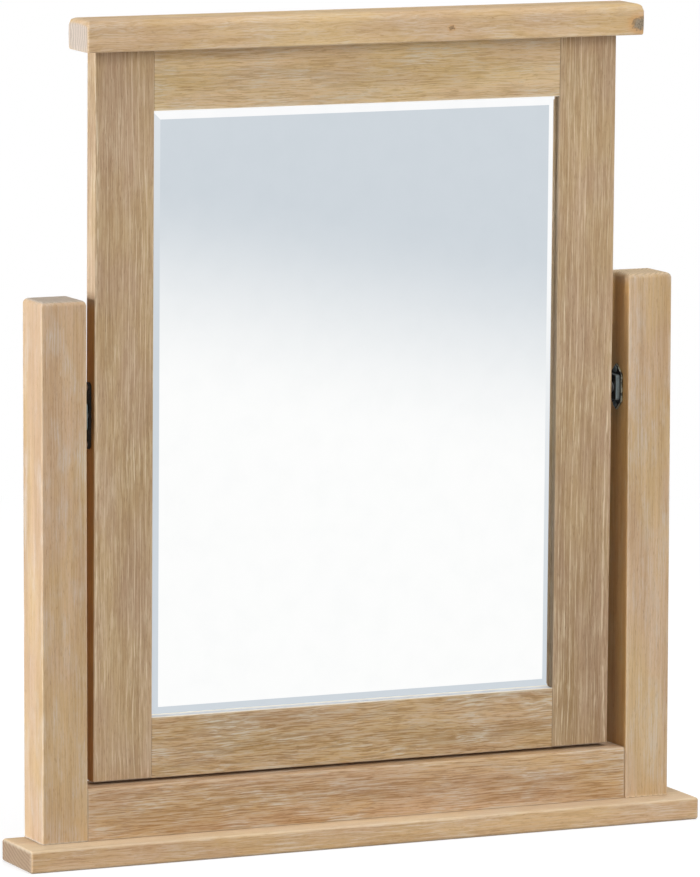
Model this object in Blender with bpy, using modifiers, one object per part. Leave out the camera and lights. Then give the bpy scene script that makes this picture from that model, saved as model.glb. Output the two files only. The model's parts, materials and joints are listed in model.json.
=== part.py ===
"""Swing mirror for a dressing table, in limed oak.

A flat base board carries two square posts with a rail between them. A rebated frame, made with
mortise and tenon joints, holds a bevelled mirror and hangs between the posts on two friction
hinges. Lengths are in metres, +Z is up, the mirror faces -Y and +X is its right-hand side. The
origin is at the middle of the base board's underside.
"""

import math

import bmesh
import bpy
from mathutils import Matrix, Vector

# Base board
BASE_LENGTH = 0.600
BASE_DEPTH = 0.064
BASE_THICKNESS = 0.0185
BASE_ARRIS = 0.0025

# Posts
POST_WIDTH = 0.039
POST_DEPTH = 0.041
POST_HEIGHT = 0.440
POST_END_INSET = 0.019
POST_BACK_INSET = 0.002
POST_TOP_ARRIS = 0.004
POST_SIDE_ARRIS = 0.001

# Rail between the posts
RAIL_HEIGHT = 0.043
RAIL_SETBACK = 0.0015
RAIL_TOP_ARRIS = 0.0025

# Mirror frame
FRAME_HEIGHT = 0.594
FRAME_THICKNESS = 0.017
STILE_WIDTH = 0.051
FRAME_RAIL_WIDTH = 0.050
FRAME_ARRIS = 0.001
FRAME_FLOOR_GAP = 0.0024
PIVOT_RISE = 0.299
PIVOT_FROM_FACE = 0.0101
REST_LEAN = math.radians(0.75)

# Mortise and tenon joints
TENON_LENGTH = 0.030
TENON_WIDTH = 0.022
TENON_THICKNESS = 0.006
TENON_FROM_FACE = 0.0055
TENON_FROM_EDGE = 0.009

# Rebates for the glass and for the back panel
LIP_THICKNESS = 0.005
GLASS_REBATE = 0.008
PANEL_REBATE = 0.016

# Glass, backing sheet and back panel
GLASS_THICKNESS = 0.004
GLASS_PLAY = 0.0005
GLASS_BEVEL_WIDTH = 0.015
GLASS_BEVEL_DEPTH = 0.0011
SHEET_THICKNESS = 0.0008
PANEL_THICKNESS = 0.004
PANEL_PLAY = 0.0006

# Cap moulding
CAP_THICKNESS = 0.0255
CAP_SIDE_OVERHANG = 0.0158
CAP_FRONT_OVERHANG = 0.021
CAP_BACK_OVERHANG = 0.0035
CAP_TOP_ARRIS = 0.006
CAP_CORNER_ARRIS = 0.002
CAP_BOTTOM_ARRIS = 0.0014

# Post plate of a hinge, with the housing pressed out of it
PLATE_THICKNESS = 0.0015
PLATE_RIM = 0.0003
POST_PLATE_HEIGHT = 0.039
POST_PLATE_WIDTH = 0.0196
POST_PLATE_STRAIGHT = 0.0226
POST_PLATE_ROUND = 0.0012
HOUSING_HEIGHT = 0.0215
HOUSING_WIDTH = 0.0165
HOUSING_RISE = 0.0042
HOUSING_ROUND = 0.0022
HOUSING_RIM = 0.0010

# Frame plate of a hinge
FRAME_PLATE_HEIGHT = 0.0545
FRAME_PLATE_WIDTH = 0.0088
BOSS_DIAMETER = 0.0084
BOSS_RISE = 0.0011

# Pivot stud, its nut and the dished spring washer
STUD_DIAMETER = 0.006
STUD_HEAD_DIAMETER = 0.0078
STUD_HEAD_THICKNESS = 0.002
STUD_END_GAP = 0.0008
STUD_CHAMFER = 0.0005
NUT_ACROSS_FLATS = 0.010
NUT_THICKNESS = 0.0027
WASHER_DIAMETER = 0.0100
WASHER_BORE = 0.0068
WASHER_THICKNESS = 0.0005
WASHER_HEIGHT = 0.0010

# Round-headed screws of the post plates, the frame plates and the back panel
POST_SCREW_HEAD = 0.0060
POST_SCREW_DOME = 0.0015
POST_SCREW_SHANK = 0.0030
POST_SCREW_LENGTH = 0.014
POST_SCREWS_APART = 0.0290
FRAME_SCREW_HEAD = 0.0074
FRAME_SCREW_DOME = 0.0020
FRAME_SCREW_SHANK = 0.0035
FRAME_SCREW_LENGTH = 0.016
FRAME_SCREWS_APART = 0.0462
PANEL_SCREW_HEAD = 0.0058
PANEL_SCREW_DOME = 0.0014
PANEL_SCREW_SHANK = 0.0026
PANEL_SCREW_LENGTH = 0.0095
PANEL_SCREW_FROM_SIDE = 0.030
PANEL_SCREW_FROM_END = 0.067
SCREW_TIP = 0.002

# Countersunk screws up through the base board
BASE_SCREW_HEAD = 0.009
BASE_SCREW_SINK = 0.004
BASE_SCREW_SHANK = 0.0045
BASE_SCREW_LENGTH = 0.052
BASE_SCREW_RECESS = 0.0006
BASE_SCREW_TIP = 0.004
BASE_SCREWS_APART = 0.020
RAIL_SCREW_FROM_POST = 0.132

# Dowels
RAIL_DOWEL_DIAMETER = 0.008
RAIL_DOWEL_DEPTH = 0.020
RAIL_DOWELS_APART = 0.018
CAP_DOWEL_DIAMETER = 0.006
CAP_DOWEL_IN_RAIL = 0.020
CAP_DOWEL_IN_CAP = 0.015
CAP_DOWEL_FROM_STILE = 0.030
DOWEL_CHAMFER = 0.0008

# Clearances: between pieces that touch, between pieces that turn, and past the end of a cut
SEAT_GAP = 0.0003
RUN_GAP = 0.0003
OVERRUN = 0.010
WELD_DISTANCE = 0.00001

# How many of each repeated fastener
PANEL_SCREW_COLUMNS_COUNT = 3
PANEL_SCREW_ROWS_COUNT = 3
RAIL_DOWEL_COUNT = 2
CAP_DOWEL_COUNT = 4
POST_FOOT_SCREW_COUNT = 2
HINGE_SCREW_COUNT = 2

# Facets
ARRIS_SEGMENTS = 3
CAP_SEGMENTS = 5
RIM_SEGMENTS = 2
BORE_SIDES = 24
SCREW_SIDES = 16
HEX_SIDES = 6
DOME_STEPS = 3
CORNER_STEPS = 4
SHARP_ANGLE = math.radians(35)

# Places worked out from the sizes
post_back = BASE_DEPTH / 2 - POST_BACK_INSET
post_front = post_back - POST_DEPTH
post_outer = BASE_LENGTH / 2 - POST_END_INSET
post_inner = post_outer - POST_WIDTH
post_middle = (post_outer + post_inner) / 2
post_foot = BASE_THICKNESS + SEAT_GAP
rail_end = post_inner - SEAT_GAP
rail_top = BASE_THICKNESS + RAIL_HEIGHT
rail_middle = (post_foot + rail_top) / 2
hinge_y = (post_front + post_back) / 2
hinge_z = rail_top + FRAME_FLOOR_GAP + PIVOT_RISE

# Distances across a hinge, from the inner face of its post
post_plate_back = SEAT_GAP
post_plate_face = post_plate_back + PLATE_THICKNESS
housing_face = post_plate_face + HOUSING_RISE
housing_inside = housing_face - PLATE_THICKNESS
nut_face = housing_inside - SEAT_GAP
nut_back = nut_face - NUT_THICKNESS
washer_base = housing_face + RUN_GAP
boss_face = washer_base + WASHER_HEIGHT + RUN_GAP
frame_plate_face = boss_face + BOSS_RISE
frame_plate_back = frame_plate_face + PLATE_THICKNESS
hinge_gap = frame_plate_back + SEAT_GAP

# Places on the mirror frame, measured from the pivot with the frame upright
frame_half = post_inner - hinge_gap
frame_low = -PIVOT_RISE
frame_high = FRAME_HEIGHT - PIVOT_RISE
frame_front = -PIVOT_FROM_FACE
frame_back = frame_front + FRAME_THICKNESS
sight_half = frame_half - STILE_WIDTH
sight_low = frame_low + FRAME_RAIL_WIDTH
sight_high = frame_high - FRAME_RAIL_WIDTH
glass_border = GLASS_REBATE - GLASS_PLAY
bevel_drop_at_lip = GLASS_BEVEL_DEPTH * (1 - glass_border / GLASS_BEVEL_WIDTH)
glass_front = frame_front + LIP_THICKNESS + SEAT_GAP - bevel_drop_at_lip
sheet_front = glass_front + GLASS_THICKNESS + SEAT_GAP
panel_ledge = sheet_front + SHEET_THICKNESS
panel_front = panel_ledge + SEAT_GAP
panel_back = panel_front + PANEL_THICKNESS
panel_border = PANEL_REBATE - PANEL_PLAY
screw_border = (GLASS_REBATE + PANEL_REBATE) / 2

SIDES = ((-1, "left", "right"), (1, "right", "left"))


def clear_scene():
    for thing in list(bpy.data.objects):
        bpy.data.objects.remove(thing, do_unlink=True)


def new_collection(name):
    collection = bpy.data.collections.new(name)
    bpy.context.scene.collection.children.link(collection)
    return collection


def new_material(name, colour, roughness, metallic=0.0):
    material = bpy.data.materials.new(name)
    material.use_nodes = True
    shader = material.node_tree.nodes["Principled BSDF"]
    shader.inputs["Base Color"].default_value = (*colour, 1)
    shader.inputs["Roughness"].default_value = roughness
    shader.inputs["Metallic"].default_value = metallic
    return material


clear_scene()
parts = new_collection("swing_mirror")
cutters = new_collection("cutters")
oak = new_material("limed_oak", (0.50, 0.35, 0.20), 0.55)
plywood = new_material("plywood", (0.46, 0.33, 0.20), 0.75)
beech = new_material("beech", (0.56, 0.38, 0.22), 0.70)
grey_board = new_material("grey_board", (0.30, 0.29, 0.27), 0.95)
silvered_glass = new_material("silvered_glass", (0.86, 0.89, 0.90), 0.02, 1.0)
bronze = new_material("blackened_bronze", (0.05, 0.05, 0.052), 0.45, 0.9)
zinc = new_material("zinc_steel", (0.55, 0.54, 0.50), 0.35, 1.0)


def new_empty(name, where, parent=None):
    empty = bpy.data.objects.new(name, None)
    empty.location = where
    empty.parent = parent
    parts.objects.link(empty)
    return empty


# The hinge line carries the pieces on the posts. The frame turns about it, and at rest its top
# leans a little forward.
hinge_line = new_empty("hinge_line", (0, hinge_y, hinge_z))
mirror_pivot = new_empty("mirror_pivot", (0, 0, 0), hinge_line)
mirror_pivot.rotation_euler = (REST_LEAN, 0, 0)


def turn_to(direction):
    """The rotation that takes +Z to a direction."""
    return Vector((0, 0, 1)).rotation_difference(Vector(direction)).to_matrix().to_4x4()


def place(name, mesh, material, where=(0, 0, 0), parent=None, direction=(0, 0, 1)):
    """Puts a mesh in the model as a named piece, with its +Z turned to the direction."""
    piece = bpy.data.objects.new(name, mesh)
    piece.location = where
    piece.rotation_euler = turn_to(direction).to_euler()
    piece.parent = parent
    mesh.materials.clear()
    mesh.materials.append(material)
    parts.objects.link(piece)
    return piece


def place_each(name, mesh, material, starts, direction, parent=None):
    """Puts in a numbered piece at each start, all of them sharing one mesh."""
    for number, start in enumerate(starts, 1):
        place(f"{name}_{number}", mesh, material, start, parent, direction)


def place_cutter(name, mesh, where=(0, 0, 0), parent=None):
    """Puts a mesh among the shapes that only cut or join the pieces."""
    cutter = bpy.data.objects.new(name, mesh)
    cutter.location = where
    cutter.parent = parent
    cutter.hide_render = True
    cutter.display_type = "WIRE"
    cutters.objects.link(cutter)
    return cutter


def combine(tool, operation, *pieces):
    for piece in pieces:
        boolean = piece.modifiers.new(tool.name, "BOOLEAN")
        boolean.operation = operation
        boolean.object = tool
        boolean.solver = "EXACT"


def cut(tool, *pieces):
    combine(tool, "DIFFERENCE", *pieces)


def mesh_from(build, name):
    mesh = bpy.data.meshes.new(name)
    build.to_mesh(mesh)
    build.free()
    return mesh


def box_mesh(name, low, high):
    """A box about its own middle, and the place of that middle."""
    low, high = Vector(low), Vector(high)
    build = bmesh.new()
    bmesh.ops.create_cube(build, size=1)
    bmesh.ops.scale(build, vec=high - low, verts=build.verts)
    return mesh_from(build, name), (low + high) / 2


def sides_towards(point):
    """The sides of a centred box that a point lies towards, such as front and top."""
    words = set()
    for value, low_side, high_side in zip(
            point, ("left", "front", "bottom"), ("right", "back", "top")):
        if abs(value) > WELD_DISTANCE:
            words.add(high_side if value > 0 else low_side)
    return words


def board(name, low, high, arrises, material, parent=None, segments=ARRIS_SEGMENTS):
    """A sawn board with softened arrises. Each of arrises pairs the sides that name an edge with
    a radius, and the first pair that fits an edge sets its radius."""
    mesh, middle = box_mesh(name, low, high)
    piece = place(name, mesh, material, middle, parent)
    if not arrises:
        return piece
    widest = max(radius for _, radius in arrises)
    build = bmesh.new()
    build.from_mesh(mesh)
    weight = build.edges.layers.float.new("bevel_weight_edge")
    for edge in build.edges:
        edge_sides = sides_towards((edge.verts[0].co + edge.verts[1].co) / 2)
        for sides, radius in arrises:
            if set(sides.split()) <= edge_sides:
                edge[weight] = radius / widest
                break
    build.to_mesh(mesh)
    build.free()
    bevel = piece.modifiers.new("softened_arrises", "BEVEL")
    bevel.limit_method = "WEIGHT"
    bevel.width = widest
    bevel.segments = segments
    return piece


def box_cutter(name, low, high, parent=None):
    mesh, middle = box_mesh(name, low, high)
    return place_cutter(name, mesh, middle, parent)


def rods(name, diameter, length, starts, direction, parent=None, sides=BORE_SIDES):
    """Cutters: round bars of one size, each running from its start along the direction."""
    build = bmesh.new()
    for start in starts:
        middle = Vector(start) + Vector(direction) * (length / 2)
        bmesh.ops.create_cone(
            build, cap_ends=True, segments=sides, radius1=diameter / 2, radius2=diameter / 2,
            depth=length, matrix=Matrix.Translation(middle) @ turn_to(direction))
    return place_cutter(name, mesh_from(build, name), parent=parent)


def evaluated_mesh(blank):
    """The mesh that an object and its modifiers make. The object itself is removed."""
    cutters.objects.link(blank)
    bpy.context.view_layer.update()
    evaluated = blank.evaluated_get(bpy.context.evaluated_depsgraph_get())
    mesh = bpy.data.meshes.new_from_object(evaluated)
    bpy.data.objects.remove(blank, do_unlink=True)
    return mesh


def turned(name, profile, sides, closed=False):
    """A turned mesh about +Z. The profile runs down its outer side from the top, as pairs of
    radius and height, and a closed profile makes a ring."""
    build = bmesh.new()
    points = [build.verts.new((radius, 0, height)) for radius, height in profile]
    for first, second in zip(points, points[1:]):
        build.edges.new((first, second))
    if closed:
        build.edges.new((points[-1], points[0]))
    blank = bpy.data.objects.new(name, mesh_from(build, name))
    screw = blank.modifiers.new("turning", "SCREW")
    screw.steps = sides
    screw.render_steps = sides
    screw.use_merge_vertices = True
    screw.merge_threshold = WELD_DISTANCE
    mesh = evaluated_mesh(blank)
    mesh.shade_smooth()
    mesh.set_sharp_from_angle(angle=SHARP_ANGLE)
    return mesh


def round_headed_screw(head, dome, shank, length):
    """A screw with the underside of its head at height 0 and its shank below."""
    profile = []
    for step in range(DOME_STEPS):
        angle = math.pi / 2 * step / DOME_STEPS
        profile.append((math.sin(angle) * head / 2, math.cos(angle) * dome))
    profile += [(head / 2, 0), (shank / 2, 0), (shank / 2, SCREW_TIP - length), (0, -length)]
    return turned("round_headed_screw", profile, SCREW_SIDES)


def dowel(diameter, length):
    """A dowel with chamfered ends, standing on height 0."""
    tip = diameter / 2 - DOWEL_CHAMFER
    return turned("dowel", [
        (0, length), (tip, length), (diameter / 2, length - DOWEL_CHAMFER),
        (diameter / 2, DOWEL_CHAMFER), (tip, 0), (0, 0)], SCREW_SIDES)


def row(count, end_to_end):
    """Even places along a line about zero, from one end to the other."""
    return [end_to_end * (index / (count - 1) - 1 / 2) for index in range(count)]


def rectangle(width, height):
    return [(-width / 2, -height / 2), (width / 2, -height / 2),
            (width / 2, height / 2), (-width / 2, height / 2)]


def lozenge(width, height, straight):
    """A plate outline with straight sides that runs to a point at each end."""
    return [(0, -height / 2), (width / 2, -straight / 2), (width / 2, straight / 2),
            (0, height / 2), (-width / 2, straight / 2), (-width / 2, -straight / 2)]


def hexagon(across_flats):
    radius = across_flats / 2 / math.cos(math.pi / HEX_SIDES)
    return [(radius * math.cos(2 * math.pi * corner / HEX_SIDES),
             radius * math.sin(2 * math.pi * corner / HEX_SIDES)) for corner in range(HEX_SIDES)]


def filleted(corners, radius):
    """The corners of an outline that runs anticlockwise, each rounded to the radius."""
    points = []
    for index, corner in enumerate(corners):
        corner = Vector(corner)
        to_last = (Vector(corners[index - 1]) - corner).normalized()
        to_next = (Vector(corners[(index + 1) % len(corners)]) - corner).normalized()
        half_angle = to_last.angle(to_next) / 2
        centre = corner + (to_last + to_next).normalized() * (radius / math.sin(half_angle))
        spoke = corner + to_last * (radius / math.tan(half_angle)) - centre
        sweep = math.pi - 2 * half_angle
        for step in range(CORNER_STEPS + 1):
            points.append(centre + Matrix.Rotation(sweep * step / CORNER_STEPS, 2) @ spoke)
    return points


def plate_mesh(name, outline, back, face, side, rim=0):
    """A flat plate in the hinge on one side. The outline is in the YZ plane about the pivot, and
    back and face are distances from the post. A rim rounds the edge round the plate's face."""
    curve = bpy.data.curves.new(name, "CURVE")
    curve.dimensions = "2D"
    curve.fill_mode = "BOTH"
    curve.extrude = abs(face - back) / 2
    spline = curve.splines.new("POLY")
    spline.points.add(len(outline) - 1)
    for point, (across, up) in zip(spline.points, outline):
        point.co = (across, up, 0, 1)
    spline.use_cyclic_u = True
    flat = evaluated_mesh(bpy.data.objects.new(name, curve))
    build = bmesh.new()
    build.from_mesh(flat)
    bmesh.ops.remove_doubles(build, verts=build.verts, dist=WELD_DISTANCE)
    if rim:
        outward = math.copysign(1, face - back)
        face_edges = [
            edge for edge in build.edges
            if min(vert.co.z * outward for vert in edge.verts) > 0
            and edge.calc_face_angle() > SHARP_ANGLE]
        bmesh.ops.bevel(
            build, geom=face_edges, offset=rim, segments=RIM_SEGMENTS, affect="EDGES",
            profile=0.5, material=-1)
    # The outline's X and Y become Y and Z, and its +Z points from the post towards the frame.
    stand = Matrix(((0, 0, -side, 0), (1, 0, 0, 0), (0, 1, 0, 0), (0, 0, 0, 1)))
    bmesh.ops.transform(build, matrix=stand, verts=build.verts)
    bmesh.ops.translate(
        build, vec=(side * (post_inner - (back + face) / 2), 0, 0), verts=build.verts)
    bmesh.ops.recalc_face_normals(build, faces=build.faces)
    return mesh_from(build, name)


# Base board, posts and lower rail
base_board = board(
    "base_board",
    (-BASE_LENGTH / 2, -BASE_DEPTH / 2, 0),
    (BASE_LENGTH / 2, BASE_DEPTH / 2, BASE_THICKNESS),
    [("", BASE_ARRIS)], oak)

posts = []
for side, hand, other_hand in SIDES:
    near, far = sorted((side * post_inner, side * post_outer))
    posts.append(board(
        hand + "_post",
        (near, post_front, post_foot),
        (far, post_back, BASE_THICKNESS + POST_HEIGHT),
        [("top", POST_TOP_ARRIS), ("bottom", 0), ("", POST_SIDE_ARRIS)], oak))

lower_rail = board(
    "lower_rail",
    (-rail_end, post_front + RAIL_SETBACK, post_foot),
    (rail_end, post_back - RAIL_SETBACK, rail_top),
    [("left", 0), ("right", 0), ("top", RAIL_TOP_ARRIS), ("", 0)], oak)

# Dowels between the lower rail and the posts
rail_dowel_starts = [
    Vector((side * post_inner - RAIL_DOWEL_DEPTH, hinge_y, rail_middle + rise))
    for side, hand, other_hand in SIDES for rise in row(RAIL_DOWEL_COUNT, RAIL_DOWELS_APART)]
rail_dowel = dowel(RAIL_DOWEL_DIAMETER, 2 * RAIL_DOWEL_DEPTH)
place_each("rail_dowel", rail_dowel, beech, rail_dowel_starts, (1, 0, 0))
rail_dowel_bores = rods(
    "rail_dowel_bores", RAIL_DOWEL_DIAMETER + 2 * SEAT_GAP, 2 * (RAIL_DOWEL_DEPTH + SEAT_GAP),
    [start - Vector((SEAT_GAP, 0, 0)) for start in rail_dowel_starts], (1, 0, 0),
    sides=SCREW_SIDES)
cut(rail_dowel_bores, *posts, lower_rail)

# Countersunk screws up through the base board, two into each post and two into the rail
base_screw_places = []
for side, hand, other_hand in SIDES:
    base_screw_places.append((side * (post_inner - RAIL_SCREW_FROM_POST), hinge_y, 0))
    for offset in row(POST_FOOT_SCREW_COUNT, BASE_SCREWS_APART):
        base_screw_places.append((side * post_middle, hinge_y + offset, 0))
base_screw_top = BASE_SCREW_RECESS + BASE_SCREW_LENGTH
base_screw_neck = BASE_SCREW_RECESS + BASE_SCREW_SINK
base_screw = turned("base_screw", [
    (0, base_screw_top),
    (BASE_SCREW_SHANK / 2, base_screw_top - BASE_SCREW_TIP),
    (BASE_SCREW_SHANK / 2, base_screw_neck),
    (BASE_SCREW_HEAD / 2, BASE_SCREW_RECESS),
    (0, BASE_SCREW_RECESS)], SCREW_SIDES)
place_each("base_screw", base_screw, zinc, base_screw_places, (0, 0, 1))

base_screw_bore = turned("base_screw_bore", [
    (0, base_screw_top + SEAT_GAP),
    (BASE_SCREW_SHANK / 2 + SEAT_GAP, base_screw_top + SEAT_GAP),
    (BASE_SCREW_SHANK / 2 + SEAT_GAP, base_screw_neck + SEAT_GAP),
    (BASE_SCREW_HEAD / 2 + SEAT_GAP, BASE_SCREW_RECESS + SEAT_GAP),
    (BASE_SCREW_HEAD / 2 + SEAT_GAP, -OVERRUN),
    (0, -OVERRUN)], SCREW_SIDES)
for screw_place in base_screw_places:
    bore = place_cutter("base_screw_bore", base_screw_bore, screw_place)
    cut(bore, base_board, *posts, lower_rail)

# Stiles of the mirror frame, which run its full height
stiles = []
for side, hand, other_hand in SIDES:
    near, far = sorted((side * sight_half, side * frame_half))
    stiles.append(board(
        hand + "_stile",
        (near, frame_front, frame_low), (far, frame_back, frame_high),
        [(other_hand, 0), ("top", 0), ("", FRAME_ARRIS)], oak, mirror_pivot))

# Rails of the mirror frame, each with a tenon at both ends in the stiles' blind mortises
frame_rails = []
shoulder = sight_half - SEAT_GAP
for name, low, high, tenon_low, arrises in (
        ("top_rail", sight_high, frame_high, frame_high - TENON_FROM_EDGE - TENON_WIDTH, []),
        ("bottom_rail", frame_low, sight_low, frame_low + TENON_FROM_EDGE,
         [("left", 0), ("right", 0), ("bottom", FRAME_ARRIS), ("", 0)])):
    rail = board(
        name, (-shoulder, frame_front, low), (shoulder, frame_back, high), arrises, oak,
        mirror_pivot)
    tenon_end = sight_half + TENON_LENGTH
    tenon_front = frame_front + TENON_FROM_FACE
    tenons_low = Vector((-tenon_end, tenon_front, tenon_low))
    tenons_high = Vector((tenon_end, tenon_front + TENON_THICKNESS, tenon_low + TENON_WIDTH))
    combine(box_cutter(name + "_tenons", tenons_low, tenons_high, mirror_pivot), "UNION", rail)
    room = Vector((SEAT_GAP, SEAT_GAP, SEAT_GAP))
    mortises = box_cutter(
        name + "_mortises", tenons_low - room, tenons_high + room, mirror_pivot)
    cut(mortises, *stiles)
    frame_rails.append(rail)
top_rail = frame_rails[0]

# Two rebates, one inside the other, cut round the opening from the back
for name, border, ledge in (
        ("glass_rebate", GLASS_REBATE, frame_front + LIP_THICKNESS),
        ("panel_rebate", PANEL_REBATE, panel_ledge)):
    rebate = box_cutter(
        name,
        (-sight_half - border, ledge, sight_low - border),
        (sight_half + border, frame_back + OVERRUN, sight_high + border), mirror_pivot)
    cut(rebate, *stiles, *frame_rails)

# Mirror glass, with a wide shallow bevel ground round its face
glass_mesh, glass_middle = box_mesh(
    "mirror_glass",
    (-sight_half - glass_border, glass_front + GLASS_BEVEL_DEPTH, sight_low - glass_border),
    (sight_half + glass_border, glass_front + GLASS_THICKNESS, sight_high + glass_border))
build = bmesh.new()
build.from_mesh(glass_mesh)
front_face = min(build.faces, key=lambda face: face.calc_center_median().y)
bmesh.ops.inset_region(
    build, faces=[front_face], thickness=GLASS_BEVEL_WIDTH, depth=GLASS_BEVEL_DEPTH,
    use_even_offset=True)
build.to_mesh(glass_mesh)
build.free()
place("mirror_glass", glass_mesh, silvered_glass, glass_middle, mirror_pivot)

# Backing sheet and back panel
board(
    "backing_sheet",
    (-sight_half - glass_border, sheet_front, sight_low - glass_border),
    (sight_half + glass_border, sheet_front + SHEET_THICKNESS, sight_high + glass_border),
    [], grey_board, mirror_pivot)
back_panel = board(
    "back_panel",
    (-sight_half - panel_border, panel_front, sight_low - panel_border),
    (sight_half + panel_border, panel_back, sight_high + panel_border),
    [], plywood, mirror_pivot)

# Screws round the back panel, into the ledge between the two rebates
panel_screw_seat = panel_back + SEAT_GAP
panel_screw_places = []
for across in row(PANEL_SCREW_COLUMNS_COUNT, 2 * (sight_half - PANEL_SCREW_FROM_SIDE)):
    for height in (sight_low - screw_border, sight_high + screw_border):
        panel_screw_places.append((across, panel_screw_seat, height))
for rise in row(PANEL_SCREW_ROWS_COUNT, sight_high - sight_low - 2 * PANEL_SCREW_FROM_END):
    for side, hand, other_hand in SIDES:
        panel_screw_places.append((
            side * (sight_half + screw_border), panel_screw_seat,
            (sight_low + sight_high) / 2 + rise))
panel_screw = round_headed_screw(
    PANEL_SCREW_HEAD, PANEL_SCREW_DOME, PANEL_SCREW_SHANK, PANEL_SCREW_LENGTH)
place_each("panel_screw", panel_screw, zinc, panel_screw_places, (0, 1, 0), mirror_pivot)
panel_screw_bores = rods(
    "panel_screw_bores", PANEL_SCREW_SHANK + 2 * SEAT_GAP, PANEL_SCREW_LENGTH + SEAT_GAP,
    panel_screw_places, (0, -1, 0), mirror_pivot, SCREW_SIDES)
cut(panel_screw_bores, back_panel, *stiles, *frame_rails)

# Cap moulding, doweled down on the top rail
cap_foot = frame_high + SEAT_GAP
top_cap = board(
    "top_cap",
    (-frame_half - CAP_SIDE_OVERHANG, frame_front - CAP_FRONT_OVERHANG, cap_foot),
    (frame_half + CAP_SIDE_OVERHANG, frame_back + CAP_BACK_OVERHANG, cap_foot + CAP_THICKNESS),
    [("top", CAP_TOP_ARRIS), ("bottom", CAP_BOTTOM_ARRIS), ("", CAP_CORNER_ARRIS)],
    oak, mirror_pivot, CAP_SEGMENTS)
cap_dowel_starts = [
    Vector((across, (frame_front + frame_back) / 2, frame_high - CAP_DOWEL_IN_RAIL))
    for across in row(CAP_DOWEL_COUNT, 2 * (sight_half - CAP_DOWEL_FROM_STILE))]
cap_dowel_length = CAP_DOWEL_IN_RAIL + SEAT_GAP + CAP_DOWEL_IN_CAP
cap_dowel = dowel(CAP_DOWEL_DIAMETER, cap_dowel_length)
place_each("cap_dowel", cap_dowel, beech, cap_dowel_starts, (0, 0, 1), mirror_pivot)
cap_dowel_bores = rods(
    "cap_dowel_bores", CAP_DOWEL_DIAMETER + 2 * SEAT_GAP, cap_dowel_length + 2 * SEAT_GAP,
    [start - Vector((0, 0, SEAT_GAP)) for start in cap_dowel_starts], (0, 0, 1), mirror_pivot,
    SCREW_SIDES)
cut(cap_dowel_bores, top_rail, top_cap)

# Friction hinges. Each has a plate on the post, with a housing pressed out of it, and a plate on
# the stile. A stud through both squeezes a dished washer between the housing and a boss on the
# stile's plate, and its nut is out of sight in the housing. Heights along turned pieces here are
# distances from the post.
post_screw = round_headed_screw(
    POST_SCREW_HEAD, POST_SCREW_DOME, POST_SCREW_SHANK, POST_SCREW_LENGTH)
frame_screw = round_headed_screw(
    FRAME_SCREW_HEAD, FRAME_SCREW_DOME, FRAME_SCREW_SHANK, FRAME_SCREW_LENGTH)
pivot_stud = turned("pivot_stud", [
    (0, hinge_gap + STUD_HEAD_THICKNESS),
    (STUD_HEAD_DIAMETER / 2, hinge_gap + STUD_HEAD_THICKNESS),
    (STUD_HEAD_DIAMETER / 2, hinge_gap),
    (STUD_DIAMETER / 2, hinge_gap),
    (STUD_DIAMETER / 2, STUD_END_GAP + STUD_CHAMFER),
    (STUD_DIAMETER / 2 - STUD_CHAMFER, STUD_END_GAP),
    (0, STUD_END_GAP)], BORE_SIDES)
friction_washer = turned("friction_washer", [
    (WASHER_BORE / 2, washer_base + WASHER_HEIGHT),
    (WASHER_DIAMETER / 2, washer_base + WASHER_THICKNESS),
    (WASHER_DIAMETER / 2, washer_base),
    (WASHER_BORE / 2, washer_base + WASHER_HEIGHT - WASHER_THICKNESS)], BORE_SIDES, closed=True)

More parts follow.
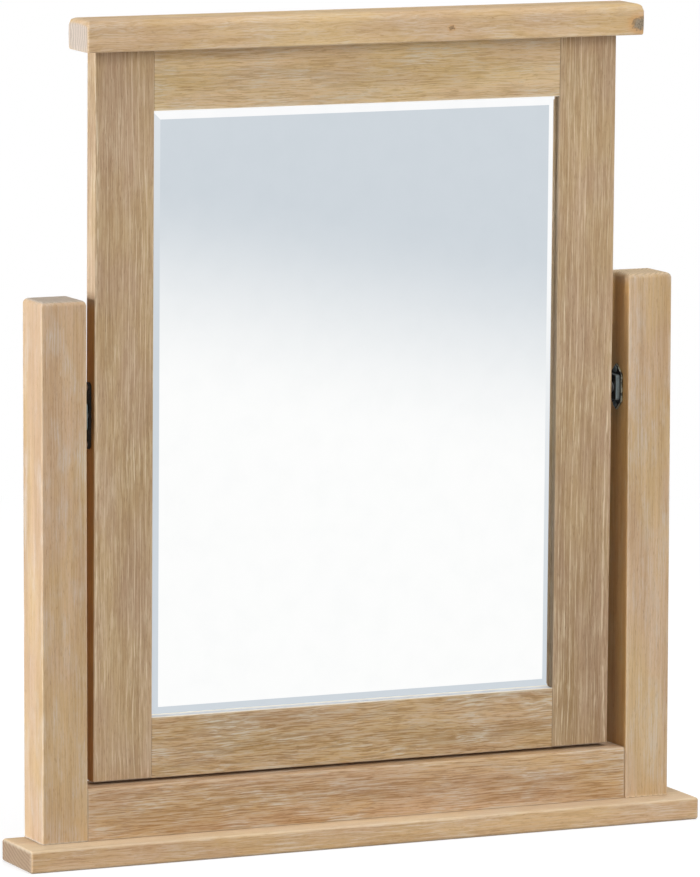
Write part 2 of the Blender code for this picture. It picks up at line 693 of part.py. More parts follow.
for (side, hand, other_hand), post, stile in zip(SIDES, posts, stiles):
    to_frame = Vector((-side, 0, 0))
    to_post = -to_frame
    post_face = Vector((side * post_inner, 0, 0))
    stud_bore = rods(
        hand + "_stud_bore", STUD_DIAMETER + 2 * RUN_GAP, hinge_gap, [post_face], to_frame,
        hinge_line)

    post_plate = place(
        hand + "_post_plate",
        plate_mesh(
            hand + "_post_plate",
            filleted(lozenge(POST_PLATE_WIDTH, POST_PLATE_HEIGHT, POST_PLATE_STRAIGHT),
                     POST_PLATE_ROUND),
            post_plate_back, post_plate_face, side, PLATE_RIM),
        bronze, parent=hinge_line)
    housing = place_cutter(
        hand + "_housing",
        plate_mesh(
            hand + "_housing",
            filleted(rectangle(HOUSING_WIDTH, HOUSING_HEIGHT), HOUSING_ROUND),
            (post_plate_back + post_plate_face) / 2, housing_face, side, HOUSING_RIM),
        parent=hinge_line)
    combine(housing, "UNION", post_plate)
    hollow = place_cutter(
        hand + "_housing_hollow",
        plate_mesh(
            hand + "_housing_hollow",
            filleted(
                rectangle(HOUSING_WIDTH - 2 * PLATE_THICKNESS,
                          HOUSING_HEIGHT - 2 * PLATE_THICKNESS),
                HOUSING_ROUND - PLATE_THICKNESS),
            -OVERRUN, housing_inside, side),
        parent=hinge_line)
    cut(hollow, post_plate)
    cut(stud_bore, post_plate)

    post_screw_seats = [
        post_face + to_frame * (post_plate_face + SEAT_GAP) + Vector((0, 0, rise))
        for rise in row(HINGE_SCREW_COUNT, POST_SCREWS_APART)]
    place_each(hand + "_post_screw", post_screw, bronze, post_screw_seats, to_frame, hinge_line)
    post_screw_bores = rods(
        hand + "_post_screw_bores", POST_SCREW_SHANK + 2 * SEAT_GAP,
        POST_SCREW_LENGTH + SEAT_GAP, post_screw_seats, to_post, hinge_line, SCREW_SIDES)
    cut(post_screw_bores, post_plate, post)

    frame_plate = place(
        hand + "_frame_plate",
        plate_mesh(
            hand + "_frame_plate",
            filleted(rectangle(FRAME_PLATE_WIDTH, FRAME_PLATE_HEIGHT),
                     FRAME_PLATE_WIDTH / 2 - PLATE_RIM),
            frame_plate_back, frame_plate_face, side, PLATE_RIM),
        bronze, parent=mirror_pivot)
    boss = rods(
        hand + "_boss", BOSS_DIAMETER, BOSS_RISE + PLATE_THICKNESS / 2,
        [post_face + to_frame * boss_face], to_frame, mirror_pivot)
    combine(boss, "UNION", frame_plate)
    cut(stud_bore, frame_plate)

    frame_screw_seats = [
        post_face + to_frame * (frame_plate_face - SEAT_GAP) + Vector((0, 0, rise))
        for rise in row(HINGE_SCREW_COUNT, FRAME_SCREWS_APART)]
    place_each(hand + "_stile_screw", frame_screw, bronze, frame_screw_seats, to_post, mirror_pivot)
    frame_screw_bores = rods(
        hand + "_frame_screw_bores", FRAME_SCREW_SHANK + 2 * SEAT_GAP,
        FRAME_SCREW_LENGTH + SEAT_GAP, frame_screw_seats, to_frame, mirror_pivot, SCREW_SIDES)
    cut(frame_screw_bores, frame_plate, stile)

    place(hand + "_pivot_stud", pivot_stud, zinc, post_face, mirror_pivot, to_frame)
    stud_head_recess = rods(
        hand + "_stud_head_recess", STUD_HEAD_DIAMETER + 2 * SEAT_GAP,
        OVERRUN + STUD_HEAD_THICKNESS + SEAT_GAP,
        [post_face + to_frame * (hinge_gap - OVERRUN)], to_frame, mirror_pivot)
    cut(stud_head_recess, stile)

    stud_nut = place(
        hand + "_stud_nut",
        plate_mesh(hand + "_stud_nut", hexagon(NUT_ACROSS_FLATS), nut_back, nut_face, side),
        zinc, parent=mirror_pivot)
    cut(stud_bore, stud_nut)

    place(hand + "_friction_washer", friction_washer, zinc, post_face, hinge_line, to_frame)
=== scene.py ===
"""The looks of a swing mirror in limed oak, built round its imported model.

A base board carries two posts and a rail. A frame with a bevelled mirror and a thick cap swings
between the posts on two friction hinges. Lengths are in metres.
"""

import json
import math

import bmesh
import bpy
from mathutils import Matrix, Vector, noise


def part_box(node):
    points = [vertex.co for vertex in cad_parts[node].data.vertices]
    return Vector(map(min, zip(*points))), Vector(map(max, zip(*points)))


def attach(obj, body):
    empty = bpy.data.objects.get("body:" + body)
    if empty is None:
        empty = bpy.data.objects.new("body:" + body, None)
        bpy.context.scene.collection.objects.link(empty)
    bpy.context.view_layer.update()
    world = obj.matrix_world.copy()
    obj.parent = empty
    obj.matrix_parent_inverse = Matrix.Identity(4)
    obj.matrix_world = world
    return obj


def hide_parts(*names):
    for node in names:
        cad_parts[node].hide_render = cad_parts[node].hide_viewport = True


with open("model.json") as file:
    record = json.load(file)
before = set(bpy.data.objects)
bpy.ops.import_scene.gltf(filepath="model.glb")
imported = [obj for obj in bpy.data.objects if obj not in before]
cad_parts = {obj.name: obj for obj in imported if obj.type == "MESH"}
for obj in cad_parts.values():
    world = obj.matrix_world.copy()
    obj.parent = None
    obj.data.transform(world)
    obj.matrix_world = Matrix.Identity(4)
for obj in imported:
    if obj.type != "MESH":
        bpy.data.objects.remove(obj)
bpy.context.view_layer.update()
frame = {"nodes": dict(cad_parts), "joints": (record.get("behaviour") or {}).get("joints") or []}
bpy.context.scene.view_settings.view_transform = "Standard"

# Base board. One flat board of oak, planed all round and limed: white paste is rubbed into the
# open pores and wiped off, under a satin lacquer. Its arrises are eased by hand with paper.
BASE_ARRIS = 0.0025
ARRIS_SEGMENTS = 6
ARRIS_UNEVENNESS = 0.16
CUT_SPACING = 0.009
WELD_DISTANCE = 0.00001
SHARP_ANGLE = math.radians(40)
TURN_STEPS = 24
GREY = [0.5, 0.5, 0.5, 1.0]
ARRIS_WEAR_WIDTH = 0.003
COMB_WIDTH = 0.001
OAK_SHINE = 0.22
OAK_RELIEF = 0.00010
ALONG_X = Matrix.Rotation(math.pi / 2, 4, "Y")
UPRIGHT = Matrix.Identity(4)


def screen_colour(red, green, blue):
    """A colour given as it looks on a screen, from 0 to 255, as the shaders take it."""
    values = []
    for value in (red, green, blue):
        share = value / 255
        if share <= 0.04045:
            values.append(share / 12.92)
        else:
            values.append(((share + 0.055) / 1.055) ** 2.4)
    return (*values, 1)


def add_node(kind, inputs=(), tree=None, **settings):
    """Makes one shader node and gives its outputs. Inputs pair its sockets' names or numbers with
    values or with other outputs. It joins those in their tree, or goes in the tree given."""
    inputs = dict(inputs)
    for value in inputs.values():
        if isinstance(value, bpy.types.NodeSocket):
            tree = value.id_data
    node = tree.nodes.new("ShaderNode" + kind)
    for setting, value in settings.items():
        setattr(node, setting, value)
    for socket, value in inputs.items():
        if isinstance(value, bpy.types.NodeSocket):
            tree.links.new(value, node.inputs[socket])
        else:
            node.inputs[socket].default_value = value
    return node.outputs


def maths(operation, *values, clamp=False):
    return add_node("Math", enumerate(values), operation=operation, use_clamp=clamp)[0]


def product(first, *others):
    for other in others:
        first = maths("MULTIPLY", first, other)
    return first


def weighted(total, *pairs, clamp=False):
    """Adds values to a total, each times its weight."""
    for value, weight in pairs:
        total = maths("MULTIPLY_ADD", value, weight, total, clamp=clamp)
    return total


def vector_maths(operation, *values):
    name = "Value" if operation in ("LENGTH", "DOT_PRODUCT") else "Vector"
    return add_node("VectorMath", enumerate(values), operation=operation)[name]


def scaled(vector, share):
    return add_node("VectorMath", {0: vector, "Scale": share}, operation="SCALE")[0]


def parted(vector):
    """A vector's three values."""
    return add_node("SeparateXYZ", {0: vector})


def ramp(value, low, high, start=0.0, end=1.0):
    """Goes from start to end as the value goes from low to high."""
    return add_node(
        "MapRange",
        {"Value": value, "From Min": low, "From Max": high, "To Min": start, "To Max": end},
        interpolation_type="SMOOTHSTEP")[0]


def band(value, rise_from, rise_to, fall_from, fall_to):
    """Rises from 0 to 1 as the value goes through the first two, and falls through the others."""
    return product(ramp(value, rise_from, rise_to), ramp(value, fall_from, fall_to, 1.0, 0.0))


def mixed(share, first, second, blend="MIX"):
    """A colour of three values is given as it looks on a screen."""
    inputs = {0: share, 6: first, 7: second}
    for socket in (6, 7):
        if isinstance(inputs[socket], tuple) and len(inputs[socket]) == 3:
            inputs[socket] = screen_colour(*inputs[socket])
    return add_node("Mix", inputs, data_type="RGBA", blend_type=blend)[2]


def cloudy(place, size, detail=1.0, roughness=0.5, output="Fac"):
    """Noise with features of that size, in metres, along each axis."""
    place = vector_maths("MULTIPLY", place, [1 / length for length in size])
    return add_node(
        "TexNoise",
        {"Vector": place, "Scale": 1.0, "Detail": detail, "Roughness": roughness})[output]


def jitter(place, size, detail=2.0):
    """Noise with a direction, up to a half each way."""
    return vector_maths("SUBTRACT", cloudy(place, size, detail, output="Color"), (0.5, 0.5, 0.5))


def group_sockets(tree, inputs, outputs):
    """Gives a group its sockets, and returns its inner input and output nodes."""
    kinds = {float: "NodeSocketFloat", tuple: "NodeSocketVector", list: "NodeSocketColor"}
    for name, value in inputs.items():
        socket = tree.interface.new_socket(
            name=name, in_out="INPUT", socket_type=kinds[type(value)])
        socket.default_value = value
    for name, kind in outputs.items():
        tree.interface.new_socket(name=name, in_out="OUTPUT", socket_type=kinds[kind])
    return tree.nodes.new("NodeGroupInput").outputs, tree.nodes.new("NodeGroupOutput").inputs


def make_arris_wear():
    """Where a board's arrises are rubbed pale, from 0 on its faces to 1 on an arris."""
    tree = bpy.data.node_groups.new("arris_wear", "ShaderNodeTree")
    given, result = group_sockets(
        tree,
        {"Place": (0.0, 0.0, 0.0), "Half Size": (0.1, 0.1, 0.1)}, {"Wear": float})
    inward = vector_maths("ABSOLUTE", given["Place"])
    inward = vector_maths("SUBTRACT", given["Half Size"], inward)
    across, through, along = parted(inward)
    nearer = maths("MINIMUM", across, through)
    further = maths("MAXIMUM", across, through)
    to_arris = maths("MAXIMUM", nearer, maths("MINIMUM", further, along))
    patches = cloudy(given["Place"], (0.008, 0.008, 0.02), 3)
    width = product(ramp(patches, 0.3, 0.7, 0.3, 1.4), ARRIS_WEAR_WIDTH)
    tree.links.new(ramp(to_arris, 0.0, width, 1.0, 0.0), result["Wear"])
    return tree


def make_limed_oak(wear_group):
    """Oak in the round, cut by a board. Place runs across, through and along the board from its
    middle, and Heart is where the tree's middle lay from there."""
    tree = bpy.data.node_groups.new("limed_oak", "ShaderNodeTree")
    given, result = group_sockets(
        tree,
        {
            "Place": (0.0, 0.0, 0.0), "Half Size": (0.1, 0.1, 0.1), "Heart": (0.0, 0.1, 0.0),
            "Tree": (0.0, 0.0, 0.0), "Ring Width": 0.003, "Taper": 0.0, "Wander": 0.004,
            "Streak Length": 0.03, "Sway": 0.004, "Combing": 0.5, "Ring Lines": 0.20,
            "Liming": 0.45, "Clouds": 0.5, "Flecks": 0.15, "Wear": 0.25, "Deepening": 0.0,
            "Pale Wood": GREY, "Deep Wood": GREY, "Lime": GREY, "End Grain": GREY,
        },
        {"Color": list, "Roughness": float, "Height": float})
    place = vector_maths("ADD", given["Place"], given["Tree"])

    # The rings round the heart, which wander along the board
    slow = jitter(place, (0.06, 0.06, 0.28))
    quick = scaled(jitter(place, (0.012, 0.012, 0.045)), 0.13)
    wander = scaled(vector_maths("ADD", slow, quick), given["Wander"])
    from_heart = vector_maths("SUBTRACT", given["Place"], given["Heart"])
    across, through, along = parted(vector_maths("ADD", from_heart, wander))
    flat = add_node("CombineXYZ", {0: across, 1: through})[0]
    radius = vector_maths("LENGTH", flat)
    grown = maths("MULTIPLY_ADD", along, given["Taper"], radius)
    rings = maths("DIVIDE", grown, given["Ring Width"])
    ring_share = maths("FRACT", rings)
    ring_chance = add_node(
        "TexWhiteNoise", {"W": maths("FLOOR", rings)}, noise_dimensions="1D")["Value"]
    early_end = maths("MULTIPLY_ADD", ring_chance, 0.24, 0.12)
    early = band(ring_share, 0.0, 0.06, 0.0, early_end)
    early = product(early, maths("MULTIPLY_ADD", ring_chance, 0.5, 0.5))

    # Combed streaks that swing with the rings, single vessels, and patches that hold more paste
    sway = scaled(jitter(place, (0.020, 0.020, 0.035)), given["Sway"])
    sway = vector_maths("ADD", scaled(wander, 0.6), sway)
    combed_place = vector_maths("ADD", place, sway)
    lengthwise = maths("DIVIDE", 1.0, given["Streak Length"])
    comb_scale = add_node("CombineXYZ", {0: 1 / COMB_WIDTH, 1: 1 / COMB_WIDTH, 2: lengthwise})[0]
    comb = cloudy(vector_maths("MULTIPLY", combed_place, comb_scale), (1, 1, 1), 2)
    pale_streaks = ramp(comb, 0.52, 0.585)
    dark_streaks = ramp(comb, 0.40, 0.475, 1.0, 0.0)
    dashes = ramp(cloudy(combed_place, (0.0025, 0.0025, 0.022), 2), 0.42, 0.56)
    vessels = ramp(cloudy(combed_place, (0.0005, 0.0005, 0.009)), 0.54, 0.66)
    open_pores = ramp(cloudy(combed_place, (0.00047, 0.00047, 0.0065)), 0.62, 0.70)
    patches = ramp(cloudy(place, (0.014, 0.014, 0.045), 4, 0.6), 0.45, 0.68)
    tone = cloudy(place, (0.014, 0.014, 0.20), 3)
    blush = cloudy(place, (0.03, 0.03, 0.09), 3)

    # Rays: thin ribbons from the heart outwards, seen as flecks where the cut follows them
    round_heart = product(maths("ARCTAN2", through, across), 0.09)
    ray_place = add_node("CombineXYZ", {0: round_heart, 1: radius, 2: along})[0]
    ray_place = vector_maths("ADD", ray_place, given["Tree"])
    rays = ramp(cloudy(ray_place, (0.0018, 0.012, 0.010), 2), 0.56, 0.66)

    # The wood's own colour
    darkened = product(dark_streaks, given["Combing"])
    depth = weighted(
        ramp(tone, 0.30, 0.70, 0.05, 0.65), (early, 0.22), (darkened, 0.75), clamp=True)
    colour = mixed(depth, given["Pale Wood"], given["Deep Wood"])
    blushed = mixed(ramp(blush, 0.35, 0.65), (1.02, 1.0, 0.93, 1), (1.0, 0.975, 1.05, 1))
    colour = mixed(1.0, colour, blushed, "MULTIPLY")
    colour = mixed(product(open_pores, 0.35), colour, given["Deep Wood"], "MULTIPLY")

    # Some boards deepen towards their low end
    half_along = parted(given["Half Size"])[2]
    own_along = parted(given["Place"])[2]
    share_along = maths("DIVIDE", own_along, half_along)
    deepened = product(ramp(share_along, -1.0, 0.4, 1.0, 0.0), given["Deepening"])
    colour = mixed(deepened, colour, (0.62, 0.56, 0.50, 1), "MULTIPLY")

    # Lime along the rings, in the combed streaks, in the vessels, as a film and on the rays
    in_rings = product(maths("MULTIPLY_ADD", dashes, 0.7, 0.3), early, given["Ring Lines"])
    in_streaks = product(
        maths("MULTIPLY_ADD", patches, 0.45, 0.30), pale_streaks, given["Combing"])
    in_vessels = product(vessels, maths("MULTIPLY_ADD", patches, 0.35, 0.15), given["Liming"])
    lime = maths("ADD", in_vessels, maths("ADD", in_rings, in_streaks))
    film = product(patches, given["Clouds"])
    fleck = product(rays, given["Flecks"])
    lime = weighted(lime, (film, 0.30), (fleck, 0.40), clamp=True)
    colour = mixed(lime, colour, given["Lime"])

    # Sawn ends drink the finish: rings and vessels stand out dark there
    from_end = maths("SUBTRACT", half_along, maths("ABSOLUTE", own_along))
    at_end = ramp(from_end, 0.0003, 0.0016, 0.9, 0.0)
    end_rings = band(ring_share, 0.0, 0.10, 0.30, 0.62)
    end_depth = weighted(product(vessels, 0.3), (end_rings, 0.58))
    end_colour = mixed(end_depth, given["End Grain"], (0.55, 0.50, 0.46, 1), "MULTIPLY")
    colour = mixed(at_end, colour, end_colour)

    # Arrises, where the paper went through to paler wood
    worn = add_node(
        "Group", {"Place": given["Place"], "Half Size": given["Half Size"]},
        node_tree=wear_group)["Wear"]
    colour = mixed(product(worn, given["Wear"]), colour, (232, 214, 186))

    gloss = weighted(0.46, (pale_streaks, 0.08), (patches, 0.08), (vessels, 0.10), (fleck, -0.06))
    height = weighted(product(vessels, -0.5), (open_pores, -0.8), (comb, 0.9))
    tree.links.new(colour, result["Color"])
    tree.links.new(gloss, result["Roughness"])
    tree.links.new(height, result["Height"])
    return tree


arris_wear = make_arris_wear()
limed_oak = make_limed_oak(arris_wear)


def new_material(name):
    material = bpy.data.materials.new(name)
    material.use_nodes = True
    return material, material.node_tree, material.node_tree.nodes["Principled BSDF"]


def object_place(tree):
    return add_node("TexCoord", tree=tree)["Object"]


def placed(tree, middle, axes):
    """Object coordinates, turned and moved so that they run along a board from its middle."""
    return add_node(
        "Mapping",
        {"Vector": object_place(tree), "Location": middle, "Rotation": axes.to_euler()},
        vector_type="TEXTURE")[0]


def finish_shader(shader, colour, roughness, height, relief):
    """Links a shader's colour and roughness, and bumps it by a height with a relief in metres."""
    bump = add_node("Bump", {"Height": height, "Distance": relief, "Strength": 1.0})
    for socket, value in (
            ("Base Color", colour), ("Roughness", roughness), ("Normal", bump["Normal"])):
        shader.id_data.links.new(value, shader.inputs[socket])


def lay_over(material, share, colour, blend="MIX"):
    """Mixes a colour over the one that a material has so far."""
    tree = material.node_tree
    shown = tree.nodes["Principled BSDF"].inputs["Base Color"]
    tree.links.new(mixed(share, shown.links[0].from_socket, colour, blend), shown)


def oak_finish(name, middle, half_size, axes, colours, **look):
    """Limed oak for one board. Axes turn the board's own directions into the model's. The colours
    are of its pale wood, its deep wood, the lime and its end grain."""
    material, tree, shader = new_material("limed_oak_" + name)
    inputs = {"Place": placed(tree, middle, axes), "Half Size": half_size}
    for setting, colour in zip(("Pale Wood", "Deep Wood", "Lime", "End Grain"), colours):
        inputs[setting] = screen_colour(*colour)
    for setting, value in look.items():
        inputs[setting.replace("_", " ").title()] = value
    oak = add_node("Group", inputs, node_tree=limed_oak)
    shader.inputs["Specular IOR Level"].default_value = OAK_SHINE
    finish_shader(shader, oak["Color"], oak["Roughness"], oak["Height"], OAK_RELIEF)
    return material


def board_place(material):
    """The place across, through and along its board that an oak finish works from."""
    return material.node_tree.nodes["Group"].inputs["Place"].links[0].from_socket


def put_in_scene(name, build):
    """An object made of a finished mesh, which is freed."""
    mesh = bpy.data.meshes.new(name)
    build.to_mesh(mesh)
    build.free()
    thing = bpy.data.objects.new(name, mesh)
    bpy.context.scene.collection.objects.link(thing)
    return thing


def new_piece(name, build, material, body, replaced, settle=True, rims=0.0):
    """Puts a finished mesh in the scene on its body. Settling keeps its flat faces flat, and
    rims is how far its sharp edges are broken."""
    piece = put_in_scene(name, build)
    piece.data.shade_smooth()
    piece.data.set_sharp_from_angle(angle=SHARP_ANGLE)
    piece.data.materials.append(material)
    if rims:
        broken = piece.modifiers.new("rims", "BEVEL")
        broken.width = rims
        broken.segments = 2
        broken.limit_method = "ANGLE"
        broken.angle_limit = SHARP_ANGLE
    if settle:
        normals = piece.modifiers.new("flat_faces", "WEIGHTED_NORMAL")
        normals.keep_sharp = True
    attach(piece, body)
    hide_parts(*replaced)


def as_modified(blank, *others):
    """The mesh of a blank under its modifiers. The blank and the others it needs are removed."""
    bpy.context.view_layer.update()
    shaped = blank.evaluated_get(bpy.context.evaluated_depsgraph_get())
    build = bmesh.new()
    build.from_mesh(shaped.to_mesh())
    for used in (blank, *others):
        bpy.data.objects.remove(used)
    return build


def sides_towards(point):
    """The sides of a centred box that a point lies towards, such as front and top."""
    words = set()
    for value, low_side, high_side in zip(
            point, ("left", "front", "bottom"), ("right", "back", "top")):
        if abs(value) > WELD_DISTANCE:
            words.add(high_side if value > 0 else low_side)
    return words


def slice_across(build, point, direction):
    """Adds a ring of edges where a plane cuts a mesh."""
    bmesh.ops.bisect_plane(
        build, geom=build.verts[:] + build.edges[:] + build.faces[:], plane_co=point,
        plane_no=direction)


def eased_board(low, high, arrises, seed):
    """A board with arrises eased by hand. Each of arrises pairs the sides that name an edge with
    its radius. Small uneven places run along them, and the faces stay flat."""
    size = Vector(high) - Vector(low)
    widest = max(radius for _, radius in arrises)
    build = bmesh.new()
    bmesh.ops.create_cube(build, size=1)
    bmesh.ops.scale(build, vec=size, verts=build.verts)
    weight = build.edges.layers.float.new("bevel_weight_edge")
    for edge in build.edges:
        edge_sides = sides_towards((edge.verts[0].co + edge.verts[1].co) / 2)
        for sides, radius in arrises:
            if set(sides.split()) <= edge_sides:
                edge[weight] = radius / widest
                break
    blank = put_in_scene("blank", build)
    bevel = blank.modifiers.new("arrises", "BEVEL")
    bevel.limit_method = "WEIGHT"
    bevel.width = widest
    bevel.segments = ARRIS_SEGMENTS
    build = as_modified(blank)
    longest = max(range(3), key=lambda axis: size[axis])
    direction = Vector((0, 0, 0))
    direction[longest] = 1
    cuts = int(size[longest] / CUT_SPACING)
    for cut in range(1, cuts):
        slice_across(build, direction * (size[longest] * (cut / cuts - 1 / 2)), direction)
    build.normal_update()
    for vert in build.verts:
        inward = sorted(size[axis] / 2 - abs(vert.co[axis]) for axis in range(3))
        if inward[0] > WELD_DISTANCE:
            dent = noise.noise(vert.co * 55 + Vector((seed, 0, 0)))
            dent += 0.5 * noise.noise(vert.co * 160 + Vector((0, seed, 0)))
            vert.co -= vert.normal * max(0, dent + 0.3) * inward[0] * ARRIS_UNEVENNESS
    bmesh.ops.translate(build, vec=(Vector(low) + Vector(high)) / 2, verts=build.verts)
    return build


def turned(profile):
    """A closed shape turned about +Z. The profile pairs radii with heights, from pole to pole."""
    build = bmesh.new()
    points = [build.verts.new((radius, 0, height)) for radius, height in profile]
    edges = [build.edges.new(pair) for pair in zip(points, points[1:])]
    bmesh.ops.spin(
        build, geom=points + edges, cent=(0, 0, 0), axis=(0, 0, 1), angle=2 * math.pi,
        steps=TURN_STEPS, use_merge=True)
    bmesh.ops.remove_doubles(build, verts=build.verts, dist=WELD_DISTANCE)
    bmesh.ops.recalc_face_normals(build, faces=build.faces)
    return build


def facing(point, direction):
    """Turns a shape's +Z to a direction and takes its origin to a point."""
    turn = Vector(direction).to_track_quat("Z", "Y").to_matrix().to_4x4()
    return Matrix.Translation(point) @ turn


def stamp(build, shape, places):
    """Adds a copy of a shape at each place to a mesh under way."""
    mesh = bpy.data.meshes.new("stamp")
    shape.to_mesh(mesh)
    for place in places:
        before = len(build.verts)
        build.from_mesh(mesh)
        build.verts.ensure_lookup_table()
        bmesh.ops.transform(build, matrix=place, verts=build.verts[before:])
    bpy.data.meshes.remove(mesh)


def cut_away(build, tool):
    """Cuts one closed shape out of another."""
    blank = put_in_scene("blank", build)
    cutter = put_in_scene("cutter", tool)
    cut = blank.modifiers.new("cut", "BOOLEAN")
    cut.operation = "DIFFERENCE"
    cut.solver = "EXACT"
    cut.object = cutter
    return as_modified(blank, cutter)


def bored(build, *bores):
    """Cuts round holes. Each of bores pairs a turned profile with its places."""
    tool = bmesh.new()
    for profile, places in bores:
        shape = turned(profile)
        stamp(tool, shape, places)
        shape.free()
    return cut_away(build, tool)


def middle(node):
    low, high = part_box(node)
    return (Vector(low) + Vector(high)) / 2


def middle_and_half(low, high, axes):
    """A board's middle, and its half sizes across, through and along itself."""
    size = axes.to_3x3().inverted() @ ((Vector(high) - Vector(low)) / 2)
    return (Vector(low) + Vector(high)) / 2, [abs(length) for length in size]


# Its six screws come up from below, their heads sunk.
BORE_ROOM = 0.0003
BASE_SCREWS = ["base_screw_%d" % number for number in range(1, 7)]
BASE_SCREW_SHANK = 0.0045
BASE_SCREW_HEAD = 0.009
BASE_SCREW_RECESS = 0.0006
BASE_SCREW_NECK = 0.0046
BASE_SCREW_END = 0.0526
BASE_TOP_SHEEN_RISE = (0.0155, 0.0182)
bore_end = BASE_SCREW_END + BORE_ROOM
shank_room = BASE_SCREW_SHANK / 2 + BORE_ROOM
head_room = BASE_SCREW_HEAD / 2 + BORE_ROOM
base_screw_bores = (
    [(0, bore_end), (shank_room, bore_end), (shank_room, BASE_SCREW_NECK + BORE_ROOM),
     (head_room, BASE_SCREW_RECESS + BORE_ROOM), (head_room, -0.01), (0, -0.01)],
    [Matrix.Translation((middle(node).x, middle(node).y, 0)) for node in BASE_SCREWS])
low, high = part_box("base_board")
base_oak = oak_finish(
    "base", *middle_and_half(low, high, ALONG_X), ALONG_X,
    ((222, 190, 146), (188, 150, 106), (230, 218, 200), (160, 135, 110)),
    heart=(-0.190, -0.077, 0.0), tree=(0.31, 0.12, 0.7), ring_width=0.0034, taper=0.012,
    wander=0.012, streak_length=0.032, sway=0.003, combing=0.44, liming=0.38, clouds=0.35)
# Painted sheen: the top face and its upper arris are mixed paler towards cream, as a glancing
# reflection of the bright room would show there.
height = parted(object_place(base_oak.node_tree))[2]
lay_over(base_oak, ramp(height, *BASE_TOP_SHEEN_RISE, 0.0, 0.32), (240, 226, 198))
new_piece(
    "oak_base_board",
    bored(eased_board(low, high, [("", BASE_ARRIS)], 1.7), base_screw_bores), base_oak, "stand",
    ["base_board"])

# Posts. Two square oak posts, finer and pinker in the grain than the frame, with the tops eased
# more than the sides. Each stands on the base board, screwed from below.
POST_TOP_ARRIS = 0.004
POST_SIDE_ARRIS = 0.0011
PIVOT = Vector(frame["joints"][0]["pos_m"])
POST_FACE = 0.242
RAIL_DOWELS = ["rail_dowel_%d" % number for number in range(1, 5)]
RAIL_DOWEL_DIAMETER = 0.008
RAIL_DOWEL_LENGTH = 0.040
POST_SCREW_SHANK = 0.0030
POST_SCREW_LENGTH = 0.014
POST_SCREW_RISE = 0.0145


def rod(diameter, length):
    """The profile of a bore with room round a rod that has its middle at height 0."""
    radius = diameter / 2 + BORE_ROOM
    end = length / 2 + BORE_ROOM
    return [(0, end), (radius, end), (radius, -end), (0, -end)]


rail_dowel_bores = (
    rod(RAIL_DOWEL_DIAMETER, RAIL_DOWEL_LENGTH),
    [facing(middle(node), (1, 0, 0)) for node in RAIL_DOWELS])
post_screw_bores = (
    rod(POST_SCREW_SHANK, 2 * POST_SCREW_LENGTH),
    [facing((x, PIVOT.y, PIVOT.z + rise), (1, 0, 0))
     for x in (-POST_FACE, POST_FACE) for rise in (-POST_SCREW_RISE, POST_SCREW_RISE)])
GAP_SHADE_SIDES = (0.2305, 0.2314, 0.2421, 0.2431)
GAP_SHADE_TOP = (0.4465, 0.4585)
GAP_SHADE_DEPTH = (0.0003, 0.0014)


def paint_gap_shade(material, half_depth):
    """Paints shade on the wood that faces into a hinge's gap: it is made darker and more orange,
    as where only light bounced between wood reaches, all but a strip down its front."""
    sideways, _, rise = parted(object_place(material.node_tree))
    depth = maths("ADD", parted(board_place(material))[1], half_depth)
    share = product(
        band(maths("ABSOLUTE", sideways), *GAP_SHADE_SIDES), ramp(rise, *GAP_SHADE_TOP, 1.0, 0.0),
        ramp(depth, *GAP_SHADE_DEPTH))
    # Painted shade: darker and more orange deep in the hinge gap, fading out towards the top and
    # the front.
    lay_over(material, share, (1.0, 0.84, 0.55, 1), "MULTIPLY")


for hand, tree_place, heart, pale_wood, end_grain in (
        ("left", (0.9, 0.4, 0.2), (0.060, 0.075, 0.0), (208, 178, 140), (199, 187, 173)),
        ("right", (0.2, 0.7, 0.5), (-0.070, 0.065, 0.0), (213, 185, 147), (226, 202, 168))):
    low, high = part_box(hand + "_post")
    post_middle, post_half = middle_and_half(low, high, UPRIGHT)
    post_oak = oak_finish(
        hand + "_post", post_middle, post_half, UPRIGHT,
        (pale_wood, (182, 150, 110), (210, 202, 190), end_grain),
        heart=heart, tree=tree_place, ring_width=0.0032, taper=0.004, wander=0.010,
        streak_length=0.070, sway=0.0015, combing=0.38, ring_lines=0.14, clouds=0.65,
        flecks=0.05)
    # Painted shade on the post's face in the hinge gap.
    paint_gap_shade(post_oak, post_half[1])
    post = eased_board(
        low, high, [("top", POST_TOP_ARRIS), ("bottom", 0), ("", POST_SIDE_ARRIS)], 3.1 + low.x)
    new_piece(
        "oak_" + hand + "_post",
        bored(post, base_screw_bores, rail_dowel_bores, post_screw_bores),
        post_oak, "stand", [hand + "_post"])

# Lower rail. A deep oak rail between the posts, just behind their faces, doweled into them and
# screwed down to the base. Only its two long top arrises are eased.
RAIL_TOP_ARRIS = 0.0025
low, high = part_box("lower_rail")
rail_oak = oak_finish(
    "lower_rail", *middle_and_half(low, high, ALONG_X), ALONG_X,
    ((210, 177, 136), (171, 134, 92), (216, 206, 190), (172, 146, 120)),
    heart=(0.004, 0.115, 0.0), tree=(0.55, 0.25, 0.1), ring_width=0.0040, taper=0.03,
    wander=0.014, streak_length=0.030, sway=0.0024, combing=0.78, ring_lines=0.25, clouds=0.45)
rail = eased_board(low, high, [("left", 0), ("right", 0), ("top", RAIL_TOP_ARRIS), ("", 0)], 6.3)
new_piece(
    "oak_lower_rail", bored(rail, base_screw_bores, rail_dowel_bores), rail_oak, "stand",
    ["lower_rail"])

# Dowels of the lower rail. Turned beech pins, fluted so that the glue can spread along them, with
# chamfered ends. Two at each end of the rail, half in the rail and half in the post.
DOWEL_CHAMFER = 0.0008
DOWEL_FLUTES = 24
FLUTE_DEPTH = 0.00025
BEECH_RELIEF = 0.00005


